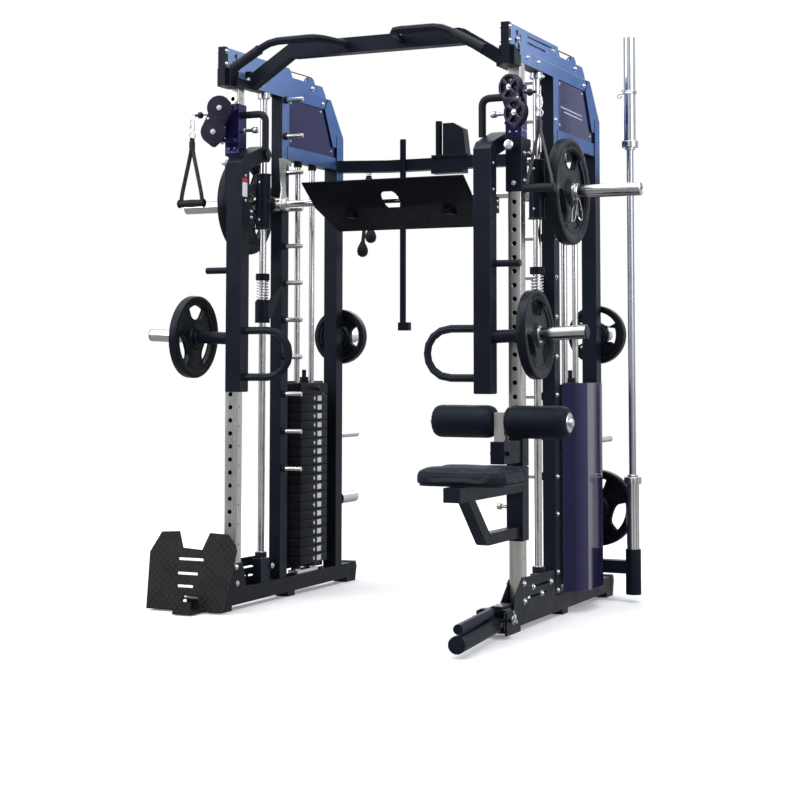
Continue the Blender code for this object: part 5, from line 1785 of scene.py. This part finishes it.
build(rear_rope, "rear_rope", ["zinc_bolt", "rope", "grip_rubber"], "frame")
build(landmine_ring_pin, "landmine_ring_pin", ["zinc_bolt"], "landmine_yoke")
build(lambda part: part.bolt((0.586, -0.195, 0.1045), UP, 0.0095, 0.0070),
      "landmine_pivot_bolt", ["zinc_bolt"], "frame")


# ================================================================== stage, light and camera
def lay_floor():
    mesh = bpy.data.meshes.new("floor")
    bm = bmesh.new()
    bmesh.ops.create_grid(bm, x_segments=1, y_segments=1, size=14.0)
    bm.to_mesh(mesh)
    bm.free()
    floor = bpy.data.objects.new("floor", mesh)
    scene.collection.objects.link(floor)
    m = Material("studio_floor")
    m.put(Base_Color=m.tones(m.noise(0.8, detail=2, rough=0.5), (0.88, 0.88, 0.885),
                             (0.90, 0.90, 0.90), stops=(0.3, 0.7)),
          Roughness=0.75, Specular_IOR_Level=0.1,
          Emission_Color=(1.0, 1.0, 1.0), Emission_Strength=0.16)
    mesh.materials.append(MATERIALS["studio_floor"])
    floor.visible_glossy = False


# (position, colour) from straight down, through the horizon at 0.5, to straight up
SKY = ((0.0, (0.34, 0.34, 0.35)), (0.44, (0.38, 0.39, 0.41)), (0.50, (0.42, 0.45, 0.50)),
       (0.545, (0.52, 0.60, 0.74)), (0.62, (0.78, 0.87, 1.0)), (1.0, (0.95, 0.98, 1.0)))
BAND_COUNT = 7.0
BAND_DARK = (0.13, 0.12, 0.115)
WHITE = (1.0, 1.0, 1.0)
EVEN_LIGHT = (0.40, 0.41, 0.44)


def light_world():
    """White to the camera, even to diffuse rays, and a banded sky in reflections."""
    world = bpy.data.worlds.new("studio")
    scene.world = world
    world.use_nodes = True
    net = Nodes(world.node_tree)
    output = net.add("OutputWorld")
    background = net.add("Background")
    net.feed(output.inputs[0], background.outputs[0])
    rays = net.add("LightPath").outputs
    x, y, z = net.xyz(net.add("TexCoord").outputs["Generated"])
    sky = net.ramp(net.calc("MULTIPLY_ADD", z, 0.5, 0.5), *SKY)
    # upright bands round the horizon, which bright rods pick up; they fade out away from it
    wave = net.calc("SINE", net.times(net.calc("ARCTAN2", y, x), BAND_COUNT))
    bands = net.mix(net.span(wave, of=(-0.35, 0.45)), BAND_DARK, WHITE)
    near = net.span(net.calc("ABSOLUTE", z), of=(0.0, 0.55), to=(0.55, 0.0))
    reflected = net.mix(near, sky, bands)
    lit = net.mix(rays["Is Glossy Ray"], EVEN_LIGHT, reflected)
    net.feed(background.inputs[0], net.mix(rays["Is Camera Ray"], lit, WHITE))


def soft_box(name, at, aim, size, power, colour=WHITE):
    light = bpy.data.lights.new(name, "AREA")
    light.shape = "RECTANGLE"
    light.size, light.size_y = size
    light.energy = power
    light.color = colour
    ob = bpy.data.objects.new(name, light)
    ob.location = at
    ob.rotation_euler = (Vector(aim) - Vector(at)).to_track_quat("-Z", "Y").to_euler()
    scene.collection.objects.link(ob)


def hang_lights():
    soft_box("top_box", at=(0.3, -0.6, 5.2), aim=(0, 0, 0.6), size=(5.0, 4.0), power=110)
    soft_box("key_box", at=(-3.6, -4.2, 3.4), aim=(0, 0, 1.1), size=(2.4, 3.2), power=95)
    soft_box("side_box", at=(4.6, -1.2, 2.9), aim=(0.2, 0.2, 1.2), size=(2.2, 3.4), power=100,
             colour=(0.90, 0.95, 1.0))
    soft_box("back_box", at=(-1.2, 4.6, 3.4), aim=(0, 0, 1.2), size=(4.0, 2.4), power=60)
    sun = bpy.data.lights.new("overhead", "SUN")
    sun.energy = 1.75
    sun.angle = radians(75)
    ob = bpy.data.objects.new("overhead", sun)
    ob.rotation_euler = (radians(14), radians(-10), 0)
    scene.collection.objects.link(ob)


CAMERA_AT = (2.7648, -5.8040 - BACK, 0.9269)
CAMERA_YAW, CAMERA_PITCH, CAMERA_ROLL = radians(24.912), radians(4.029), radians(0.084)


def set_camera():
    camera = bpy.data.cameras.new("view")
    camera.sensor_width = 36.0
    camera.lens = 77.27
    camera.shift_x, camera.shift_y = 0.01607, -0.19224
    camera.clip_end = 60
    ob = bpy.data.objects.new("view", camera)
    ahead = Vector((-sin(CAMERA_YAW) * cos(CAMERA_PITCH), cos(CAMERA_YAW) * cos(CAMERA_PITCH),
                    sin(CAMERA_PITCH)))
    level = Vector((cos(CAMERA_YAW), sin(CAMERA_YAW), 0))
    above = level.cross(ahead)
    right = level * cos(CAMERA_ROLL) + above * sin(CAMERA_ROLL)
    up = above * cos(CAMERA_ROLL) - level * sin(CAMERA_ROLL)
    pose = Matrix((right, up, -ahead)).transposed().to_4x4()
    pose.translation = Vector(CAMERA_AT)
    ob.matrix_world = pose
    scene.collection.objects.link(ob)
    scene.camera = ob


lay_floor()
light_world()
hang_lights()
set_camera()
scene.view_settings.view_transform = "Standard"
